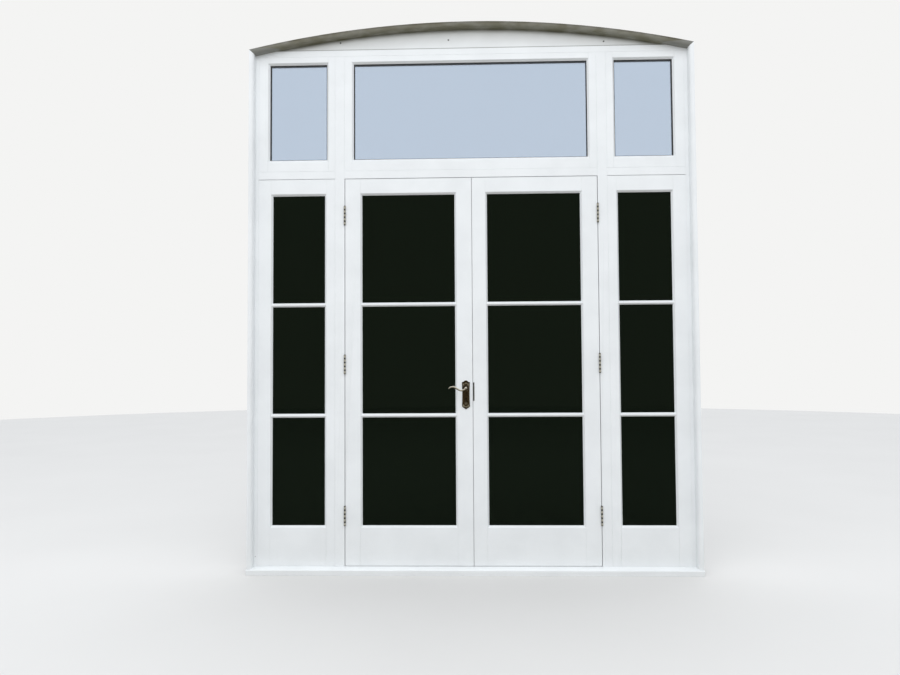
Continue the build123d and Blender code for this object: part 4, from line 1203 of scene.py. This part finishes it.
@dataclass
class LeverSet:
    """A polished scroll lever on an antiqued plate with petals, reeds and a rosette, outside
    and inside.

    Points on the plate are millimetres right of and above the spindle. A spray is its root, the
    way it aims, and each petal's turn and size; one off the middle is mirrored. A ring is its
    radius, its centre's height, its petals and their size.
    """

    spindle_x_mm: float = -31.0
    spindle_z_mm: float = 949.0
    leaf_mm: float = 54.0
    proud_mm: float = 48.0
    field_mm: float = 3.6
    arris_mm: float = 0.5
    neck_mm: tuple[tuple[float, float], ...] = (
        (0, 6.2), (7.6, 6.2), (7.9, 7.4), (7.2, 9.0), (6.0, 12), (5.4, 20), (5.6, 30), (6.6, 40),
        (7.2, 46), (6.8, 50), (5.2, 52.6), (2.6, 53.9), (0, 54.2))
    path_mm: tuple[tuple[float, float], ...] = (
        (1.5, 0.5), (-11, -8.5), (-27, -11.5), (-46, -2), (-64, 6.5), (-79, 4.5), (-88.5, -3))
    half_mm: tuple[float, ...] = (5.2, 5.0, 4.4, 4.8, 5.6, 4.8, 2.4)
    deepened: float = 1.1
    voxel_mm: float = 0.7
    petal_mm: tuple[float, float, float] = (9.0, 4.2, 1.5)
    petal_root: float = 0.35
    groove_depth: float = 0.35
    groove_width: float = 0.25
    petal_sunk: float = 0.3
    sprays: tuple[tuple[tuple[float, float], float, tuple[tuple[float, float], ...]], ...] = (
        ((0.0, 19.5), 0, ((0, 1.0), (40, 0.9), (-40, 0.9))),
        ((0.0, -93.0), 180, ((0, 1.0), (42, 0.9), (-42, 0.9))),
        ((12.0, 11.5), 0, ((12, 1.4), (-24, 1.3), (-62, 0.8))),
        ((11.5, -86.0), 180, ((-14, 1.5), (20, 1.6), (58, 0.9))))
    rings: tuple[tuple[float, float, int, float], ...] = (
        (1.6, -79.0, 8, 0.75), (12.4, 0.0, 12, 0.5))
    bead_x_mm: float = 16.4
    bead_top_mm: float = 11.0
    bead_step_mm: float = 5.0
    beads: int = 19
    bead_size: float = 0.3
    screw_mm: tuple[tuple[float, float], ...] = (
        (-12.6, -24), (12.6, -24), (-12.6, -70), (12.6, -70))
    screw: SlottedScrew = field(default_factory=lambda: SlottedScrew(
        radius_mm=2.2, proud_mm=0.3, depth_mm=1.0, slot_mm=0.6, slot_depth_mm=0.5))

    def build(self) -> None:
        """Builds both levers and both plates."""
        # The polished lever's underside is darkened as painted shade.
        polished = Brass("polished_lever_brass", bright="DFDACB", tarnish="4F4029",
                         tarnished=0.2, hollow_mm=3.0, smooth=0.14, rough=0.34,
                         under=0.9).make()
        antique = Brass("antiqued_plate_brass", bright="3F3322", tarnish="150F09",
                        tarnished=0.7, hollow_mm=2.6, hollow_from=0.1, cloud_mm=7.0, smooth=0.3,
                        rough=0.55).make()
        # The relief's lighter brass is partly worn high places and partly painted glints.
        rubbed_relief_with_glints = Brass("rubbed_relief_brass_with_painted_glints", bright="A39B84", tarnish="2A2015",
                       tarnished=0.45, hollow_mm=1.6, hollow_from=0.08, cloud_mm=4.0, smooth=0.26,
                       rough=0.5).make()
        outside = facing((self.spindle_x_mm * MM, 0, self.spindle_z_mm * MM), (0, -1, 0))
        across = outside.to_3x3() @ Vector((1, 0, 0))
        if across.x < 0:
            outside = outside @ Matrix.Rotation(math.pi, 4, "Z")
        inside = (Matrix.Translation((0, self.leaf_mm * MM, 0))
                  @ Matrix.Scale(-1, 4, (0, 1, 0)) @ outside)
        lever, relief = self.lever(), self.relief()
        for face, place in (("outside", outside), ("inside", inside)):
            dress(copy_mesh(lever, face + "_scroll_lever", place), "lever",
                  [polished], [face + "_lever"])
            plate = eased_copy(face + "_plate", face + "_plate_blank", self.arris_mm, [antique])
            carved = copy_mesh(relief, face + "_relief", place)
            carved.data.materials.append(rubbed_relief_with_glints)
            dress(join([plate, carved], face + "_antiqued_plate"), "left_leaf",
                  replaced=[face + "_plate"])
            heads = [(place @ Vector((x * MM, y * MM, self.field_mm * MM)),
                      place.to_3x3() @ Vector((0, 0, 1))) for x, y in self.screw_mm]
            dress(add_screws(heads, face + "_plate_screws", self.screw), "left_leaf",
                  [antique])
        bpy.data.objects.remove(lever)
        bpy.data.objects.remove(relief)

    def lever(self) -> bpy.types.Object:
        """The lever as one casting: a turned neck with a domed end, run into the scroll.

        Returns:
            The lever, its spindle on the Z axis and the plate's face at z 0.
        """
        neck = lathe("neck", self.neck_mm, steps=40)
        data = bpy.data.curves.new("scroll", "CURVE")
        data.dimensions = "3D"
        data.bevel_depth = MM
        data.bevel_resolution = 6
        data.resolution_u = 10
        data.use_fill_caps = True
        spline = data.splines.new("BEZIER")
        spline.bezier_points.add(len(self.path_mm) - 1)
        for point, (x, y), half in zip(spline.bezier_points, self.path_mm, self.half_mm):
            point.co = (x * MM, y * MM, 0.0)
            point.handle_left_type = point.handle_right_type = "AUTO"
            point.radius = half
        scroll = bpy.data.objects.new("scroll", data)
        bpy.context.scene.collection.objects.link(scroll)
        only(scroll)
        bpy.ops.object.convert(target="MESH")
        scroll = placed(bpy.context.object, Matrix.Translation((0, 0, self.proud_mm * MM))
                        @ Matrix.Scale(self.deepened, 4, (0, 0, 1)))
        lever = join([neck, scroll], "scroll_lever")
        apply_modifier(lever, "REMESH", mode="VOXEL", voxel_size=self.voxel_mm * MM)
        apply_modifier(lever, "SMOOTH", factor=0.5, iterations=4)
        only(lever)
        bpy.ops.object.shade_smooth()
        return lever

    def petal(self, size: float, root: tuple[float, float], turn: float) -> bpy.types.Object:
        """One petal: a flattened drop, narrow at its root and grooved down its middle.

        Args:
            size: its share of the full petal.
            root: where its root lies.
            turn: the way it points, in degrees from straight up.

        Returns:
            The petal on the plate's face.
        """
        long, wide, high = (value * size * MM for value in self.petal_mm)
        bpy.ops.object.select_all(action="DESELECT")
        bpy.ops.mesh.primitive_uv_sphere_add(segments=16, ring_count=8, radius=1.0)
        petal = bpy.context.object
        for vertex in petal.data.vertices:
            x, y, z = vertex.co
            along = (y + 1) / 2
            drop = self.petal_root + (1 - self.petal_root) * along
            groove = 1.0 - self.groove_depth * math.exp(-(x / self.groove_width) ** 2)
            vertex.co = (x * wide / 2 * drop, along * long,
                         max(z, -self.petal_sunk) * high * (groove if z > 0 else 1.0))
        petal.data.polygons.foreach_set("use_smooth", [True] * len(petal.data.polygons))
        place = (root[0] * MM, root[1] * MM, self.field_mm * MM)
        return placed(petal, Matrix.Translation(place)
                      @ Matrix.Rotation(math.radians(turn), 4, "Z"))

    def relief(self) -> bpy.types.Object:
        """The plate's cast relief: sprays in the crown and the foot and in their side lobes, a
        flower, a rosette round the collar and a beaded edge down both sides.

        Returns:
            The relief, over the plate's field.
        """
        pieces = []
        for (x, y), aim, petals in self.sprays:
            for way in (-1, 1) if x else (1,):
                pieces += [self.petal(size, (way * x, y), aim + way * turn)
                           for turn, size in petals]
        for radius, y, count, size in self.rings:
            for angle in (math.tau * i / count for i in range(count)):
                root = (-radius * math.sin(angle), y + radius * math.cos(angle))
                pieces.append(self.petal(size, root, math.degrees(angle)))
        pieces += [self.petal(self.bead_size, (way * self.bead_x_mm,
                                               self.bead_top_mm - self.bead_step_mm * i), 0)
                   for way in (-1, 1) for i in range(self.beads)]
        return join(pieces, "plate_relief")


@dataclass
class Ironmongery:
    """Everything else of metal, rubber or bare timber: eased copies of the solids."""

    arris_mm: float = 0.4

    def build(self, frame: dict) -> None:
        """Dresses every node that no other class stands for.
        """
        finishes = {
            Slot.STEEL: BrushedSteel("brushed_steel"),
            Slot.RUBBER: Rubber("extruded_rubber"),
            Slot.SOFTWOOD: Softwood("planed_redwood"),
            Slot.POLISHED_BRASS: Brass("drawn_bolt_brass", bright="CDB47C", tarnish="7C6840"),
            Slot.ANTIQUE_BRASS: Brass("bronzed_strike_brass", bright="5E5D59", tarnish="2D2C2A",
                                      smooth=0.3),
        }
        for slot, finish in finishes.items():
            material = finish.make()
            for node, body in slot_nodes(frame, slot):
                if bpy.data.objects[node].hide_render:
                    continue
                piece = eased_copy(node, node + "_finished", self.arris_mm, [material])
                dress(piece, body, replaced=[node])


@dataclass
class Fixings:
    """The screws of the lock, plates, bolts and keeps, and the heads left in the painted face."""

    forend_margin_mm: float = 9.0
    strike_low_mm: float = 40.0
    strike_high_mm: float = 10.0
    bolt_plate_mm: tuple[float, float] = (146.0, 2.5)
    bolt_margin_mm: float = 5.0
    keep_mm: float = 2.0
    keep_margin_mm: float = 3.5
    arch_heads: tuple[tuple[float, float], ...] = (
        (-0.6827, 2.7752), (-0.111, 2.7811), (0.7032, 2.7594))
    jamb_nail: tuple[float, float] = (-1.126, 0.083)

    def build(self) -> None:
        """Sets every group of screws on its own body."""
        brass = Brass("brass_screw_heads", bright="BFA873", tarnish="6C5A38").make()
        dark = Brass("antiqued_screw_heads", bright="5A4C36", tarnish="1D160D").make()
        steel = BrushedSteel("steel_screw_heads").make()
        rust = BrushedSteel("rusted_steel_heads", low="2B2927", high="4B4845",
                            roughness=0.6).make()
        small = SlottedScrew(radius_mm=2.6, proud_mm=0.2, slot_mm=0.7)
        tiny = SlottedScrew(radius_mm=1.8, proud_mm=0.15, depth_mm=0.9, slot_mm=0.5,
                            slot_depth_mm=0.5)
        large = SlottedScrew(radius_mm=4.4, proud_mm=0.7, slot_mm=1.4)
        groups = (
            ("lock_forend_screws", "left_leaf", Slot.STEEL, steel, small, self.forend()),
            ("strike_screws", "right_leaf", Slot.ANTIQUE_BRASS, dark, small, self.strike()),
            ("bolt_plate_screws", "right_leaf", Slot.POLISHED_BRASS, brass, small,
             self.bolt_plates()),
            ("bolt_keep_screws", "frame", Slot.POLISHED_BRASS, brass, tiny, self.keeps()),
            ("arch_fixing_heads", "frame", Slot.STEEL, rust, large,
             [((x, 0.0, z), (0, -1, 0)) for x, z in self.arch_heads]),
            ("jamb_nail_head", "frame", Slot.STEEL, rust, tiny,
             [((self.jamb_nail[0], 0.0, self.jamb_nail[1]), (0, -1, 0))]),
        )
        for name, body, slot, material, screw, places in groups:
            dress(add_screws(places, name, screw), body, [material])

    def forend(self) -> list[ScrewPlace]:
        """Two screws in the lock's forend.

        Returns:
            Their places, near its ends.
        """
        (_, front, low), (face, back, high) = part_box("lock_case")
        margin = self.forend_margin_mm * MM
        return [((face, (front + back) / 2, z), (1, 0, 0)) for z in (low + margin, high - margin)]

    def strike(self) -> list[ScrewPlace]:
        """Two screws in the strike's flat.

        Returns:
            Their places, between its pockets and above them.
        """
        (face, _, low), (_, back, high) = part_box("strike_plate")
        heights = (low + self.strike_low_mm * MM, high - self.strike_high_mm * MM)
        return [((face, back / 2, z), (-1, 0, 0)) for z in heights]

    def bolt_plates(self) -> list[ScrewPlace]:
        """Four screws in each slide bolt's plate.

        Returns:
            Their places, one to a corner.
        """
        (left, back, low), (right, _, high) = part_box("bolt_plates")
        length, thickness = (value * MM for value in self.bolt_plate_mm)
        margin = self.bolt_margin_mm * MM
        return [((x, back + thickness, z), (0, 1, 0))
                for z0 in (low, high - length) for z in (z0 + margin, z0 + length - margin)
                for x in (left + margin, right - margin)]

    def keeps(self) -> list[ScrewPlace]:
        """Two screws in each keep.

        Returns:
            Their places, the upper ones looking down and the lower ones up.
        """
        (left, front, low), (right, back, high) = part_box("bolt_keeps")
        thickness, margin = self.keep_mm * MM, self.keep_margin_mm * MM
        return [((x, (front + back) / 2, z), (0, 0, way))
                for z, way in ((low + thickness, 1), (high - thickness, -1))
                for x in (left + margin, right - margin)]


@dataclass
class ClosedJoints:
    """What closes the light's way through the gaps: painted filler round the fixed sashes, a
    pale wiper under each leaf, and the lock's curtain and ward behind the keyholes, near black
    as painted shade."""

    gap_mm: float = 1.0
    filler_y_mm: tuple[float, float] = (0.5, 4.0)
    filler_arris_mm: float = 0.2
    sill_drop_mm: float = 5.2
    wiper_y_mm: tuple[float, float] = (2.5, 4.5)
    wiper_drop_mm: float = 4.3
    wiper_arris_mm: float = 0.4
    wiper_short_mm: float = 1.0
    tongue_mm: float = 7.0
    key_x_mm: float = -31.0
    key_z_mm: float = 892.0
    curtain_y_mm: tuple[float, float] = (15.0, 19.0)
    curtain_mm: tuple[float, float] = (3.4, 0.2)
    ward_half_mm: float = 1.35
    ward_z_mm: tuple[float, float] = (-10.7, -1.0)

    def build(self, frame: dict) -> None:
        """Makes the filler, the wipers and the curtain.
        """
        # This paint's corners darken too, with a lighter dirt and painted shade.
        paint = BrushedPaint("brushed_paint_over_filler", Grain.UPRIGHT, grime_and_shade="D3D5D3").make()
        sashes = [node for node, _ in slot_nodes(frame, Slot.PAINT)
                  if node.endswith(("sidelight_sash", "toplight_sash"))]
        dress(join([strip for node in sashes for strip in self.filler(node)], "sash_filler"),
              "frame", [paint])
        pale = Rubber("pale_silicone_wiper", low="D4D6D6", high="DEDFDF").make()
        for side, _ in SIDES:
            dress(self.wiper(side), side + "_leaf", [pale])
        # Near black: painted shade inside the keyholes.
        dark = BrushedSteel("lock_steel_with_painted_keyhole_shade", low="171717", high="2B2B2A",
                            roughness=0.55).make()
        dress(self.curtain(), "left_leaf", [dark])

    def filler(self, node: str) -> list[bpy.types.Object]:
        """The four strips of filler round one fixed sash.

        Args:
            node: the sash.

        Returns:
            The strips, sunk a little behind the sash's face.
        """
        (x0, y0, z0), (x1, _, z1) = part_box(node)
        front, back = (y0 + value * MM for value in self.filler_y_mm)
        gap = self.gap_mm * MM
        foot = self.sill_drop_mm * MM if "sidelight" in node else gap
        spans = (((x0 - gap, z0 - gap), (x0, z1 + gap)), ((x1, z0 - gap), (x1 + gap, z1 + gap)),
                 ((x0, z1), (x1, z1 + gap)), ((x0, z0 - foot), (x1, z0)))
        return [slab((a, front, b), (c, back, d), self.filler_arris_mm)
                for (a, b), (c, d) in spans]

    def wiper(self, side: str) -> bpy.types.Object:
        """The soft strip under one leaf, a hair above the sill.

        Args:
            side: the leaf's side, left or right.

        Returns:
            The strip, clear of the other leaf's tongue.
        """
        nodes = [f"{side}_leaf_{part}" for part in ("hanging_stile", "meeting_stile")]
        corners = [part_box(node) for node in nodes]
        x0 = min(low[0] for low, _ in corners) + self.wiper_short_mm * MM
        x1 = max(high[0] for _, high in corners) - self.wiper_short_mm * MM
        if side == "right":
            x0 = max(x0, self.tongue_mm * MM)
        foot = corners[0][0][2]
        front, back = (value * MM for value in self.wiper_y_mm)
        strip = slab((x0, front, foot - self.wiper_drop_mm * MM), (x1, back, foot),
                     self.wiper_arris_mm)
        strip.name = strip.data.name = side + "_leaf_wiper"
        return strip

    def curtain(self) -> bpy.types.Object:
        """The lock's turning curtain and its ward, which stop the view through the keyholes; their
        near-black steel is painted shade.

        Returns:
            The two, joined.
        """
        front, back = self.curtain_y_mm
        radius, arris = self.curtain_mm
        tall = back - front
        drum = lathe("curtain", [(0, 0), (radius - arris, 0), (radius, arris), (radius, tall),
                                 (0, tall)], steps=20)
        x, z = self.key_x_mm, self.key_z_mm
        placed(drum, facing((x * MM, back * MM, z * MM), (0, -1, 0)))
        corners = [[value * MM for value in (x + way * self.ward_half_mm, y, z + drop)]
                   for way, y, drop in zip((-1, 1), self.curtain_y_mm, self.ward_z_mm)]
        return join([drum, slab(*corners, self.filler_arris_mm)], "keyhole_curtain")


def slot_nodes(frame: dict, slot: Slot) -> list[tuple[str, str]]:
    """Every node of one material slot with its body.

    Args:
        slot: the record's slot.

    Returns:
        Pairs of node and body, in the record's order.
    """
    slots = {part["node"]: part["material_slot"] for part in frame["record"]["subparts"]}
    bodies = frame["record"]["behaviour"]["bodies"]
    return [(node, body) for body, nodes in bodies.items() for node in nodes
            if slots[node] == slot.value]


def main() -> None:
    """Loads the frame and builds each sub-assembly in order."""
    logging.basicConfig(level=logging.INFO, format="%(message)s")
    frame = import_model()
    PhotoCamera().build()
    Studio().build()
    Joinery().build(frame)
    Glazing().build(frame)
    ButtHinges().build()
    LeverSet().build()
    Ironmongery().build(frame)
    Fixings().build()
    ClosedJoints().build(frame)


if __name__ == "__main__":
    main()
